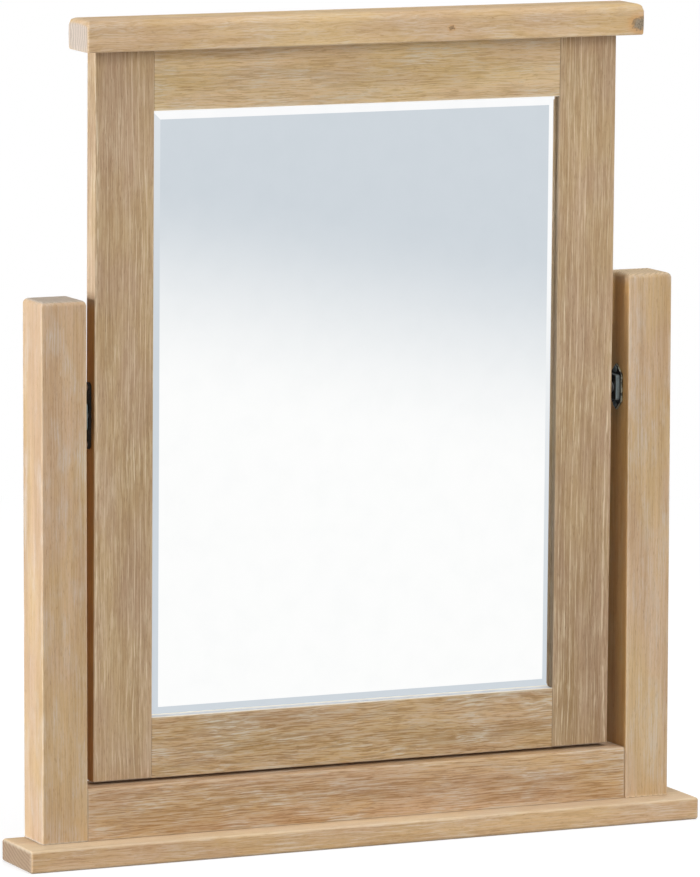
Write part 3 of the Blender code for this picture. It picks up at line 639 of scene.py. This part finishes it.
def drawn_out(build, face, rise, spread):
    """Draws a face out along Z, scales its far end and returns it."""
    raised = bmesh.ops.extrude_face_region(build, geom=[face])["geom"]
    verts = [item for item in raised if isinstance(item, bmesh.types.BMVert)]
    bmesh.ops.translate(build, vec=(0, 0, rise), verts=verts)
    bmesh.ops.scale(build, vec=(spread, spread, 1), verts=verts)
    return next(item for item in raised if isinstance(item, bmesh.types.BMFace))


def fluted_dowel(diameter, length):
    """A fluted dowel about +Z, with its middle at the origin."""
    build = bmesh.new()
    bmesh.ops.create_circle(build, cap_ends=True, segments=3 * DOWEL_FLUTES, radius=diameter / 2)
    for number, vert in enumerate(build.verts):
        if number % 3 == 0:
            vert.co *= 1 - 2 * FLUTE_DEPTH / diameter
    tip = 1 - 2 * DOWEL_CHAMFER / diameter
    bmesh.ops.scale(build, vec=(tip, tip, 1), verts=build.verts)
    bmesh.ops.translate(build, vec=(0, 0, -length / 2), verts=build.verts)
    end = build.faces[:][0]
    for rise, spread in (
            (DOWEL_CHAMFER, 1 / tip), (length - 2 * DOWEL_CHAMFER, 1), (DOWEL_CHAMFER, tip)):
        end = drawn_out(build, end, rise, spread)
    bmesh.ops.recalc_face_normals(build, faces=build.faces)
    return build


def beech_finish(name, axes):
    """Pinkish beech with short dark flecks along the grain."""
    material, tree, shader = new_material(name)
    place = placed(tree, (0, 0, 0), axes)
    tone = cloudy(place, (0.003, 0.003, 0.020), 3)
    flecks = cloudy(place, (0.00025, 0.00025, 0.0016))
    marks = ramp(flecks, 0.60, 0.68)
    colour = mixed(ramp(tone, 0.3, 0.7), (222, 188, 152), (204, 164, 124))
    colour = mixed(product(marks, 0.6), colour, (158, 110, 78))
    finish_shader(
        shader, colour, ramp(flecks, 0.3, 0.7, 0.55, 0.72), product(marks, -1.0), BEECH_RELIEF)
    return material


def place_dowels(nodes, diameter, length, direction, material, body):
    """Puts a dowel at each node, along a direction."""
    for node in nodes:
        dowel = fluted_dowel(diameter, length)
        bmesh.ops.transform(dowel, matrix=facing(middle(node), direction), verts=dowel.verts)
        new_piece("fluted_" + node, dowel, material, body, [node])


place_dowels(
    RAIL_DOWELS, RAIL_DOWEL_DIAMETER, RAIL_DOWEL_LENGTH, (1, 0, 0),
    beech_finish("beech_along", ALONG_X), "stand")

# Base screws. Countersunk steel screws, zinc plated, with a cross recess. Two hold each post and
# two the rail, from under the base board.
SCREW_PITCH = 0.0011
THREAD_ROOT = 0.74
DOME_STEPS = 7
METAL_RELIEF = 0.00003


def make_metal_skin():
    """Stains, fine specks and handling marks on metal, blended from two colours."""
    tree = bpy.data.node_groups.new("metal_skin", "ShaderNodeTree")
    given, result = group_sockets(
        tree,
        {"Place": (0.0, 0.0, 0.0), "Clean": GREY, "Stained": GREY, "Smooth": 0.3, "Rough": 0.5},
        {"Color": list, "Roughness": float, "Height": float})
    stains = ramp(cloudy(given["Place"], (0.003, 0.003, 0.003), 4, 0.6), 0.38, 0.66)
    specks = cloudy(given["Place"], (0.00022, 0.00022, 0.00022), 2)
    marks = ramp(cloudy(given["Place"], (0.0002, 0.0002, 0.004)), 0.58, 0.66)
    share = weighted(product(stains, 0.8), (specks, 0.3), clamp=True)
    grain = weighted(product(share, 0.6), (marks, 0.4), clamp=True)
    roughness = add_node("Mix", {0: grain, 2: given["Smooth"], 3: given["Rough"]})[0]
    tree.links.new(mixed(share, given["Clean"], given["Stained"]), result["Color"])
    tree.links.new(roughness, result["Roughness"])
    tree.links.new(weighted(specks, (marks, -0.5)), result["Height"])
    return tree


metal_skin = make_metal_skin()


def metal_finish(name, clean, stained, smooth, rough, metallic):
    material, tree, shader = new_material(name)
    inputs = {
        "Place": object_place(tree), "Clean": clean, "Stained": stained, "Smooth": smooth,
        "Rough": rough}
    skin = add_node("Group", inputs, node_tree=metal_skin)
    shader.inputs["Metallic"].default_value = metallic
    finish_shader(shader, skin["Color"], skin["Roughness"], skin["Height"], METAL_RELIEF)
    return material


def threaded(shank, top, tip, end):
    """The profile of a thread from top down to where its tip starts, and the tip."""
    profile = []
    count = int((top - tip) / SCREW_PITCH)
    for turn in range(count):
        height = top - turn * (top - tip) / count
        profile.append((shank / 2 * THREAD_ROOT, height))
        profile.append((shank / 2, height - (top - tip) / count / 2))
    return profile + [(shank / 2 * THREAD_ROOT, tip), (0, end)]


def cross_headed(profile, head, top, depth):
    """A turned screw with a tapering cross cut down into the top of its head."""
    arm = head * 0.27
    half_width = head * 0.065
    outline = []
    quarter = [(arm, -half_width), (arm, half_width), (half_width, half_width)]
    for _ in range(4):
        outline += quarter
        quarter = [(-y, x) for x, y in quarter]
    tool = bmesh.new()
    face = tool.faces.new([tool.verts.new((x, y, top + depth)) for x, y in outline])
    drawn_out(tool, face, -2 * depth, 0.6)
    bmesh.ops.recalc_face_normals(tool, faces=tool.faces)
    return cut_away(turned(profile), tool)


def place_screws(nodes, screw, direction, dome, length, material, body):
    """Puts a copy of a screw at each node. Its head points along a direction."""
    direction = Vector(direction)
    for node in nodes:
        seat = middle(node) - direction * (dome - length) / 2
        piece = bmesh.new()
        stamp(piece, screw, [facing(seat, direction)])
        new_piece("cross_headed_" + node, piece, material, body, [node], settle=False)


zinc_steel = metal_finish(
    "zinc_steel", (0.80, 0.79, 0.75, 1), (0.62, 0.63, 0.62, 1), 0.26, 0.46, 1.0)
base_screw_length = BASE_SCREW_END - BASE_SCREW_RECESS
base_screw_sink = BASE_SCREW_NECK - BASE_SCREW_RECESS
base_screw = cross_headed(
    [(0, 0), (BASE_SCREW_HEAD / 2 - 0.0002, 0), (BASE_SCREW_HEAD / 2, -0.0002),
     (BASE_SCREW_SHANK / 2, -base_screw_sink), (BASE_SCREW_SHANK / 2, -0.018)]
    + threaded(BASE_SCREW_SHANK, -0.0185, 0.004 - base_screw_length, -base_screw_length),
    BASE_SCREW_HEAD, 0, 0.0026)
place_screws(
    BASE_SCREWS, base_screw, (0, 0, -1), 0, base_screw_length, zinc_steel, "stand")

# Stiles of the mirror frame. Flat oak, straight in the grain and greyer than the posts. They run
# the frame's full height and are rebated at the back for the mirror and its panel.
REST_LEAN = math.radians(0.75)
LEANING = Matrix.Rotation(REST_LEAN, 4, "X")
FRAME_PLACE = Matrix.Translation(PIVOT) @ LEANING
STILE_MIDDLE = 0.206
STILE_HALF_SIZE = (0.0255, 0.0085, 0.297)
FRAME_MIDDLE_DEPTH = -0.0016


def merged_copy(node):
    """A node's mesh with its loose triangles joined up, and its flat faces made whole."""
    build = bmesh.new()
    build.from_mesh(frame["nodes"][node].data)
    bmesh.ops.remove_doubles(build, verts=build.verts, dist=WELD_DISTANCE)
    bmesh.ops.dissolve_limit(
        build, angle_limit=math.radians(0.5), verts=build.verts, edges=build.edges)
    return build


for side, hand, tree_place, deepening in (
        (-1, "left", (0.62, 0.1, 0.9), 0.0), (1, "right", (0.15, 0.85, 0.35), 0.45)):
    stile_oak = oak_finish(
        hand + "_stile", FRAME_PLACE @ Vector((side * STILE_MIDDLE, FRAME_MIDDLE_DEPTH, -0.002)),
        STILE_HALF_SIZE, LEANING,
        ((194, 167, 133), (168, 139, 104), (234, 218, 188), (166, 150, 134)),
        heart=(side * 0.06, 0.075, 0.0), tree=tree_place, ring_width=0.0036, taper=0.006,
        wander=0.010, streak_length=0.036, sway=0.0015, combing=0.45, ring_lines=0.85, liming=0.38,
        clouds=0.10, flecks=0.06, wear=0.12, deepening=deepening)
    # Painted shade on the stile's side in the hinge gap.
    paint_gap_shade(stile_oak, STILE_HALF_SIZE[1])
    new_piece(
        "oak_" + hand + "_stile", merged_copy(hand + "_stile"), stile_oak, "mirror_frame",
        [hand + "_stile"])

# Rails of the mirror frame. They butt between the stiles on stub tenons, flush with them, with
# lively figure: short pale dashes and grey patches of ray fleck. Their lip over the glass carries
# a painted highlight along its front and a painted reflection of the bevel further in.
FRAME_RAIL_HALF_SIZE = (0.025, 0.0085, 0.1855)
LIP_EDGE = (0.0246, 0.0249)
LIP_DEPTH = (-0.0069, -0.0055)
for name, inner_side, height, tree_place, heart, taper, combing, pale_wood, deep_wood in (
        ("top_rail", 1, 0.270, (0.4, 0.9, 0.6), (0.010, 0.070, 0.0), 0.020, 0.62,
         (226, 200, 155), (190, 160, 115)),
        ("bottom_rail", -1, -0.274, (0.8, 0.3, 0.45), (-0.012, 0.060, 0.0), 0.035, 0.85,
         (206, 175, 133), (168, 135, 92))):
    rail_oak = oak_finish(
        name, FRAME_PLACE @ Vector((0, FRAME_MIDDLE_DEPTH, height)), FRAME_RAIL_HALF_SIZE,
        LEANING @ ALONG_X,
        (pale_wood, deep_wood, (214, 206, 188), (166, 150, 134)),
        heart=heart, tree=tree_place, ring_width=0.0045, taper=taper, wander=0.016,
        streak_length=0.024, sway=0.0036, combing=combing, clouds=0.50, wear=0.40)
    # Painted highlight and reflection on the lip: near white at its front arris, going to the blue
    # grey that the glass's bevel reflects further in.
    across, through, _ = parted(board_place(rail_oak))
    lip = ramp(product(across, inner_side), *LIP_EDGE, 0.0, 0.88)
    lip_highlight_and_reflection = mixed(ramp(through, *LIP_DEPTH), (255, 250, 236), (232, 235, 240))
    lay_over(rail_oak, lip, lip_highlight_and_reflection)
    new_piece("oak_" + name, merged_copy(name), rail_oak, "mirror_frame", [name])

# Cap moulding. A thick oak strip over the frame, well rounded along its top, doweled down on the
# top rail. Its front has a small knot, and a larger grey one by its right end.
CAP_LOW = Vector((-0.2473, -0.0311, 0.2953))
CAP_HIGH = Vector((0.2473, 0.0104, 0.3208))
CAP_TOP_ARRIS = 0.006
CAP_CORNER_ARRIS = 0.002
CAP_BOTTOM_ARRIS = 0.0014
CAP_END_BULGE = 0.0010
CAP_KNOTS = (
    ((0.0020, -0.0207, 0.0722), 0.0018, (206, 160, 108), (160, 130, 98)),
    ((0.0036, -0.0207, 0.2424), 0.0057, (210, 160, 106), (152, 143, 127)))
KNOT_WAVER = 0.005
KNOT_SQUASH = (1.0, 0.4, 0.9)
cap_middle, cap_half = middle_and_half(CAP_LOW, CAP_HIGH, ALONG_X)
cap_oak = oak_finish(
    "cap", FRAME_PLACE @ cap_middle, cap_half, LEANING @ ALONG_X,
    ((219, 191, 148), (190, 157, 113), (222, 211, 195), (206, 192, 178)),
    heart=(0.014, 0.085, 0.0), tree=(0.1, 0.5, 0.8), ring_width=0.0046, taper=0.020,
    wander=0.030, streak_length=0.026, sway=0.006, combing=0.44, liming=0.35, clouds=0.40,
    wear=0.15)
cap = eased_board(
    CAP_LOW, CAP_HIGH,
    [("top", CAP_TOP_ARRIS), ("bottom", CAP_BOTTOM_ARRIS), ("", CAP_CORNER_ARRIS)], 9.2)
for direction, size in (((0, 1, 0), cap_half[1]), ((0, 0, 1), cap_half[0])):
    direction = Vector(direction)
    for share in (-0.5, 0.0, 0.5):
        slice_across(cap, cap_middle + direction * (size * share), direction)
for vert in cap.verts:
    off = vert.co - cap_middle
    to_end = cap_half[2] - abs(off.x)
    if to_end < CAP_CORNER_ARRIS:
        bulge = (off.y / cap_half[1]) ** 2 + (off.z / cap_half[0]) ** 2
        vert.co.x -= math.copysign(CAP_END_BULGE * bulge / 2, off.x)
place = board_place(cap_oak)
waver = scaled(jitter(place, (0.0026, 0.0026, 0.0026), 3), KNOT_WAVER)
place = vector_maths("ADD", place, waver)
mottles = ramp(cloudy(place, (0.0010, 0.0010, 0.0013), 3, 0.6), 0.46, 0.66)
broken = ramp(cloudy(place, (0.0030, 0.0030, 0.0030), 2), 0.42, 0.60)
for knot_place, radius, halo, heartwood in CAP_KNOTS:
    off = vector_maths("SUBTRACT", place, knot_place)
    distance = vector_maths("LENGTH", vector_maths("MULTIPLY", off, KNOT_SQUASH))
    distance = maths("DIVIDE", distance, radius)
    lay_over(cap_oak, ramp(distance, 0.9, 2.4, 0.65, 0.0), halo)
    inside = mixed(product(mottles, 0.9), heartwood, (84, 76, 64))
    lay_over(cap_oak, ramp(distance, 0.60, 1.15, 0.9, 0.0), inside)
    rim = product(band(distance, 0.72, 0.95, 0.95, 1.25), 0.6, broken)
    lay_over(cap_oak, rim, (120, 100, 74))
bmesh.ops.transform(cap, matrix=FRAME_PLACE, verts=cap.verts)
CAP_DOWELS = ["cap_dowel_%d" % number for number in range(1, 5)]
CAP_DOWEL_DIAMETER = 0.006
CAP_DOWEL_LENGTH = 0.0353
UP_FRAME = LEANING @ Vector((0, 0, 1))
cap_dowel_bores = (
    rod(CAP_DOWEL_DIAMETER, CAP_DOWEL_LENGTH),
    [facing(middle(node), UP_FRAME) for node in CAP_DOWELS])
new_piece(
    "oak_cap", bored(cap, cap_dowel_bores), cap_oak, "mirror_frame", ["top_cap"])

# Dowels of the cap. Thinner fluted beech pins, upright in the top rail and the cap.
place_dowels(
    CAP_DOWELS, CAP_DOWEL_DIAMETER, CAP_DOWEL_LENGTH, UP_FRAME,
    beech_finish("beech_upright", LEANING), "mirror_frame")

# Mirror. Four millimetre silvered float glass, with a wide shallow bevel ground and polished all
# round its face. It lies in the frame's rebate behind a five millimetre lip. Its back is painted.
GLASS_BACK = -0.0016
silvered_glass, tree, shader = new_material("silvered_glass")
place = placed(tree, PIVOT, LEANING)
dust = cloudy(place, (0.02, 0.02, 0.02), 4)
at_back = ramp(parted(place)[1], GLASS_BACK, GLASS_BACK + 0.0002)
silver = mixed(ramp(dust, 0.35, 0.75), (0.980, 0.985, 0.980, 1), (0.965, 0.972, 0.968, 1))
paint = mixed(ramp(dust, 0.4, 0.6), (126, 134, 130), (112, 120, 117))
sheen = ramp(dust, 0.4, 0.8, 0.0, 0.012)
for socket, value in (
        ("Base Color", mixed(at_back, silver, paint)),
        ("Roughness", weighted(sheen, (at_back, 0.6))),
        ("Metallic", maths("SUBTRACT", 1.0, at_back))):
    tree.links.new(value, shader.inputs[socket])
frame["nodes"]["mirror_glass"].material_slots[0].material = silvered_glass

# Backing sheet. Thin grey board, pressed from pulped paper, that keeps the panel off the paint.
BOARD_RELIEF = 0.00008
grey_board, tree, shader = new_material("grey_board")
place = placed(tree, PIVOT, LEANING)
pulp = cloudy(place, (0.0011, 0.0011, 0.0011), 4, 0.7)
fibres = cloudy(place, (0.0003, 0.0003, 0.0022))
colour = mixed(ramp(pulp, 0.35, 0.65), (158, 155, 148), (138, 135, 129))
colour = mixed(ramp(fibres, 0.66, 0.70, 0.0, 0.6), colour, (92, 90, 88))
colour = mixed(ramp(fibres, 0.30, 0.34, 0.5, 0.0), colour, (196, 194, 188))
finish_shader(shader, colour, ramp(pulp, 0.3, 0.7, 0.82, 0.95), pulp, BOARD_RELIEF)
frame["nodes"]["backing_sheet"].material_slots[0].material = grey_board

# Back panel. Four millimetre three ply with peeled face veneers, upright in the grain, let into
# the frame's second rebate.
PANEL_CORE = (0.0012, 0.0029)
PANEL_CORE_BLUR = 0.0001
PANEL_RELIEF = 0.00004
plywood, tree, shader = new_material("plywood")
place = placed(tree, PIVOT, LEANING)
slow = cloudy(place, (0.075, 0.5, 0.50), 2, 0.45)
lines = band(maths("FRACT", product(slow, 24.0)), 0.0, 0.75, 0.82, 1.0)
tone = cloudy(place, (0.06, 0.5, 0.30), 3)
pores = ramp(cloudy(place, (0.00035, 0.00035, 0.006)), 0.60, 0.68)
in_core = band(
    parted(place)[1], PANEL_CORE[0] - PANEL_CORE_BLUR, PANEL_CORE[0],
    PANEL_CORE[1], PANEL_CORE[1] + PANEL_CORE_BLUR)
colour = mixed(ramp(tone, 0.3, 0.7), (224, 196, 154), (206, 174, 130))
colour = mixed(product(lines, 0.42), colour, (176, 134, 92))
colour = mixed(product(pores, 0.35), colour, (140, 104, 70))
colour = mixed(in_core, colour, (172, 132, 92))
finish_shader(
    shader, colour, ramp(tone, 0.3, 0.7, 0.58, 0.70),
    weighted(product(lines, 0.4), (pores, -1.0)), PANEL_RELIEF)
frame["nodes"]["back_panel"].material_slots[0].material = plywood


# Panel screws. Twelve small round-headed steel screws, zinc plated, through the back panel into
# the ledge between the frame's two rebates.
def place_round_heads(nodes, head, dome, shank, length, direction, material, body):
    """Makes round-headed screws, from the underside of the head at the origin, and places them."""
    profile = []
    for step in range(DOME_STEPS + 1):
        angle = math.pi / 2 * step / DOME_STEPS
        profile.append((math.sin(angle) * head / 2, math.cos(angle) * dome))
    profile.append((shank / 2 * THREAD_ROOT, -0.0003))
    profile += threaded(shank, -0.0006, 0.002 - length, -length)
    screw = cross_headed(profile, head, dome, dome * 0.8)
    place_screws(nodes, screw, direction, dome, length, material, body)


PANEL_SCREWS = ["panel_screw_%d" % number for number in range(1, 13)]
place_round_heads(
    PANEL_SCREWS, 0.0058, 0.0014, 0.0026, 0.0095, LEANING @ Vector((0, 1, 0)), zinc_steel,
    "mirror_frame")

# Hinges. On each side a pointed plate on the post, with a housing pressed out of it, and a strip
# with a boss on the stile. All are bronze, blackened. The housing's walls are painted pale as if
# lit and the stile screws' domes carry painted glints; the rims are rubbed pale, partly as wear
# and partly as a painted highlight.
HOUSING_FACE = 0.236
PLATE_HALF_WIDTH = 0.0098
PLATE_STRAIGHT = 0.0113
PLATE_SLOPE = (0.642, 0.767)
HIGHLIGHT_BLUR = 0.0003
POST_PLATE_SIDE = (0.2395, 0.2399)
blackened_bronze = metal_finish(
    "blackened_bronze", screen_colour(52, 48, 42), screen_colour(28, 26, 23), 0.34, 0.58, 0.35)
place = object_place(blackened_bronze.node_tree)
sideways = maths("ABSOLUTE", parted(place)[0])
glint_and_wear_patches = cloudy(place, (0.004, 0.004, 0.006), 3, 0.6)
# Painted highlights: the band level with the housing's walls is painted pale blue grey, as lit
# from the front, and the band level with the stile screws' domes gets pinkish painted glints.
for low_side, high_side, highlight_colour in (
        (HOUSING_FACE + 0.0003, HOUSING_FACE + 0.0036, (120, 132, 134)),
        (HOUSING_FACE - 0.0016, HOUSING_FACE - 0.0005, (158, 140, 134))):
    painted_highlight = band(
        sideways, low_side - HIGHLIGHT_BLUR, low_side + HIGHLIGHT_BLUR, high_side - HIGHLIGHT_BLUR,
        high_side + HIGHLIGHT_BLUR)
    painted_highlight = product(painted_highlight, ramp(glint_and_wear_patches, 0.3, 0.6, 0.70, 0.98))
    lay_over(blackened_bronze, painted_highlight, highlight_colour)
off_pivot = vector_maths("ABSOLUTE", vector_maths("SUBTRACT", place, PIVOT))
_, outwards, upwards = parted(off_pivot)
from_side = maths("SUBTRACT", PLATE_HALF_WIDTH, outwards)
from_top = maths("SUBTRACT", PLATE_STRAIGHT, upwards)
from_slope = weighted(product(from_side, PLATE_SLOPE[0]), (from_top, PLATE_SLOPE[1]))
from_rim = maths("MINIMUM", from_side, from_slope)
# Painted highlight and wear on the post plates' rims: pale where the edges catch the light and
# where they are rubbed.
rim_wear_and_glint = product(
    ramp(sideways, *POST_PLATE_SIDE), ramp(from_rim, 0.0002, 0.0007, 1.0, 0.0),
    ramp(glint_and_wear_patches, 0.40, 0.52, 0.1, 0.9))
lay_over(blackened_bronze, rim_wear_and_glint, (176, 178, 160))
for side, hand in ((-1, "left"), (1, "right")):
    for part, body in (("_post_plate", "stand"), ("_frame_plate", "mirror_frame")):
        plate = hand + part
        new_piece(
            "pressed_" + plate, merged_copy(plate), blackened_bronze, body,
            [plate], rims=0.00012)
    place_round_heads(
        [hand + "_post_screw_1", hand + "_post_screw_2"], 0.006, 0.0015, POST_SCREW_SHANK,
        POST_SCREW_LENGTH, (-side, 0, 0), blackened_bronze, "stand")
    place_round_heads(
        [hand + "_stile_screw_1", hand + "_stile_screw_2"], 0.0074, 0.0020, 0.0035, 0.016,
        (side, 0, 0), blackened_bronze, "mirror_frame")

# Hinge studs, nuts and washers. Turned and pressed steel, zinc plated. The stud's head is let into
# the stile, its nut turns inside the housing, and the dished washer between them gives friction.
for hand in ("left", "right"):
    for part, body in (
            ("_pivot_stud", "mirror_frame"), ("_stud_nut", "mirror_frame"),
            ("_friction_washer", "stand")):
        fitting = hand + part
        new_piece(
            "steel_" + fitting, merged_copy(fitting), zinc_steel, body, [fitting],
            settle=False)

# Floor. A wide pale sweep under the mirror. The camera sees it white with the mirror's soft
# shadow, and shiny things see it shade off to blue grey close in front. It is clear from below.
FLOOR_SIZE = 160.0
FLOOR_DROP = 0.0002
FLOOR_GLOW = 0.69
TOUCH_DISTANCE = 0.0015
WHITE = (1, 1, 1, 1)
DIM_BEHIND = (0.12, 0.12, 0.12, 1)
REFLECTED_GREY = (209, 216, 223)
REFLECTED_WHITE = (255, 255, 255)
build = bmesh.new()
bmesh.ops.create_grid(build, x_segments=1, y_segments=1, size=FLOOR_SIZE / 2)
bmesh.ops.translate(build, vec=(0, 0, -FLOOR_DROP), verts=build.verts)
floor = put_in_scene("floor", build)


def glow(tree, colour, strength=1.0):
    return add_node("Emission", {"Color": colour, "Strength": strength}, tree)[0]


def mix_shaders(share, first, second):
    return add_node("MixShader", {0: share, 1: first, 2: second})[0]


floor_white, tree, shader = new_material("floor_white")
tree.nodes.remove(shader)
rays = add_node("LightPath", tree=tree)
spot = object_place(tree)
spot_across, spot_back, _ = parted(spot)
behind = ramp(spot_back, -0.1, 0.4)
reflected = mixed(ramp(maths("ABSOLUTE", spot_across), 0.3, 2.4), REFLECTED_GREY, REFLECTED_WHITE)
reflected = mixed(behind, reflected, DIM_BEHIND)
plain_colour = mixed(behind, (0.55, 0.55, 0.55, 1), (0.28, 0.28, 0.28, 1))
plain = add_node("BsdfDiffuse", {"Color": plain_colour})[0]
faint = add_node("BsdfDiffuse", {"Color": (0.40, 0.40, 0.40, 1)}, tree)[0]
near_mirror = add_node("AddShader", {0: faint, 1: glow(tree, WHITE, FLOOR_GLOW)})[0]
seen = mix_shaders(ramp(vector_maths("LENGTH", spot), 0.7, 2.0), near_mirror, glow(tree, WHITE))
lit = mix_shaders(rays["Is Camera Ray"], plain, seen)
lit = mix_shaders(rays["Is Glossy Ray"], lit, glow(tree, reflected))
touching = product(
    maths("LESS_THAN", rays["Ray Length"], TOUCH_DISTANCE),
    maths("SUBTRACT", 1.0, rays["Is Camera Ray"]))
clear = maths("MAXIMUM", touching, add_node("NewGeometry", tree=tree)["Backfacing"])
lit = mix_shaders(clear, lit, add_node("BsdfTransparent", tree=tree)[0])
tree.links.new(lit, tree.nodes["Material Output"].inputs["Surface"])
floor.data.materials.append(floor_white)

# Card in front of the mirror, on the floor. Only shiny things see it. It is what the mirror
# shows: white close by, shading off to blue grey further away.
CARD_HEIGHT = 0.002
CARD_NEAR = -0.48
CARD_FAR = -7.0
CARD_RUN = (0.956, -0.294, 0)
build = bmesh.new()
corners = [
    build.verts.new((across, back, CARD_HEIGHT)) for across, back in (
        (-0.010, CARD_NEAR), (0.445, CARD_NEAR), (4.215, CARD_FAR), (2.185, CARD_FAR))]
bmesh.ops.contextual_create(build, geom=corners)
card = put_in_scene("card", build)
card.visible_camera = False
card.visible_diffuse = False
card.visible_shadow = False
card.visible_transmission = False
card_shade, tree, shader = new_material("card_shade")
tree.nodes.remove(shader)
down_card = vector_maths("DOT_PRODUCT", object_place(tree), CARD_RUN)
shades = mixed(ramp(down_card, 1.35, 2.7), REFLECTED_WHITE, REFLECTED_GREY)
tree.links.new(glow(tree, shades), tree.nodes["Material Output"].inputs["Surface"])
card.data.materials.append(card_shade)

# Room. White to the camera, a soft even light on the object, and to shiny things a pale wall
# that turns bluer higher up.
world = bpy.data.worlds.new("room")
bpy.context.scene.world = world
world.use_nodes = True
tree = world.node_tree
rays = add_node("LightPath", tree=tree)
seen_white = add_node("Background", {"Color": WHITE, "Strength": 1.0}, tree)[0]
_, to_back, rise = parted(add_node("TexCoord", tree=tree)["Generated"])
soft_light = tree.nodes["Background"]
soft_light.inputs["Color"].default_value = (1.0, 0.985, 0.96, 1)
tree.links.new(ramp(to_back, -0.2, 0.3, 0.15, 0.03), soft_light.inputs["Strength"])
wall = mixed(ramp(rise, 0.05, 0.45), (253, 253, 254), (214, 221, 229))
wall = mixed(ramp(to_back, -0.3, 0.3), wall, DIM_BEHIND)
seen_wall = add_node("Background", {"Color": wall, "Strength": 1.0})[0]
room = mix_shaders(rays["Is Camera Ray"], soft_light.outputs[0], seen_white)
room = mix_shaders(rays["Is Glossy Ray"], room, seen_wall)
tree.links.new(room, tree.nodes["World Output"].inputs["Surface"])

# Lamps. A narrow upright soft box straight from the left, which leaves the jambs on the right
# dark, one overhead, a broad one in front for the faces, and one behind. Only the one overhead
# shows in shiny things.
LAMP_AIM = Vector((0, 0, 0.34))
for name, place, wide, high, power, tint, shows in (
        ("left_strip_box", (-3.0, -0.005, 0.45), 0.06, 0.7, 89.0, (0.96, 1.0, 1.07), False),
        ("overhead_soft_box", (-0.3, -0.7, 3.3), 2.4, 2.6, 51.0, (1.0, 1.0, 1.0), True),
        ("front_soft_box", (1.5, -3.9, 2.05), 3.0, 2.2, 111.0, (1.0, 0.99, 0.97), False),
        ("back_fill", (1.2, 3.0, 2.6), 2.4, 2.4, 66.0, (1.0, 1.0, 1.0), False)):
    lamp = bpy.data.lights.new(name, "AREA")
    lamp.shape = "RECTANGLE"
    lamp.size = wide
    lamp.size_y = high
    lamp.energy = power
    lamp.color = tint
    holder = bpy.data.objects.new(name, lamp)
    holder.location = place
    holder.rotation_euler = (LAMP_AIM - Vector(place)).to_track_quat("-Z", "Y").to_euler()
    holder.visible_camera = False
    holder.visible_glossy = shows
    bpy.context.scene.collection.objects.link(holder)

# Camera. It stands to the left of the mirror, a little above it, with a long lens.
CAMERA_AIM = Vector((-0.0060, 0, 0.3334))
CAMERA_DISTANCE = 5.8688
CAMERA_YAW = math.radians(24.184)
CAMERA_PITCH = math.radians(7.725)
CAMERA_ROLL = math.radians(-0.152)
FOCAL_PIXELS = 7189.0
PICTURE_HEIGHT = 877
SENSOR_SIZE = 36.0
forward = Vector((
    math.sin(CAMERA_YAW) * math.cos(CAMERA_PITCH),
    math.cos(CAMERA_YAW) * math.cos(CAMERA_PITCH),
    -math.sin(CAMERA_PITCH)))
level_right = Vector((math.cos(CAMERA_YAW), -math.sin(CAMERA_YAW), 0))
level_down = forward.cross(level_right)
right = math.cos(CAMERA_ROLL) * level_right + math.sin(CAMERA_ROLL) * level_down
down = math.cos(CAMERA_ROLL) * level_down - math.sin(CAMERA_ROLL) * level_right
camera_data = bpy.data.cameras.new("camera")
camera_data.sensor_width = SENSOR_SIZE
camera_data.lens = FOCAL_PIXELS * SENSOR_SIZE / PICTURE_HEIGHT
camera_data.clip_end = 400.0
camera = bpy.data.objects.new("camera", camera_data)
camera.matrix_world = Matrix.Translation(CAMERA_AIM - forward * CAMERA_DISTANCE) @ Matrix(
    (right, -down, -forward)).transposed().to_4x4()
bpy.context.scene.collection.objects.link(camera)
bpy.context.scene.camera = camera
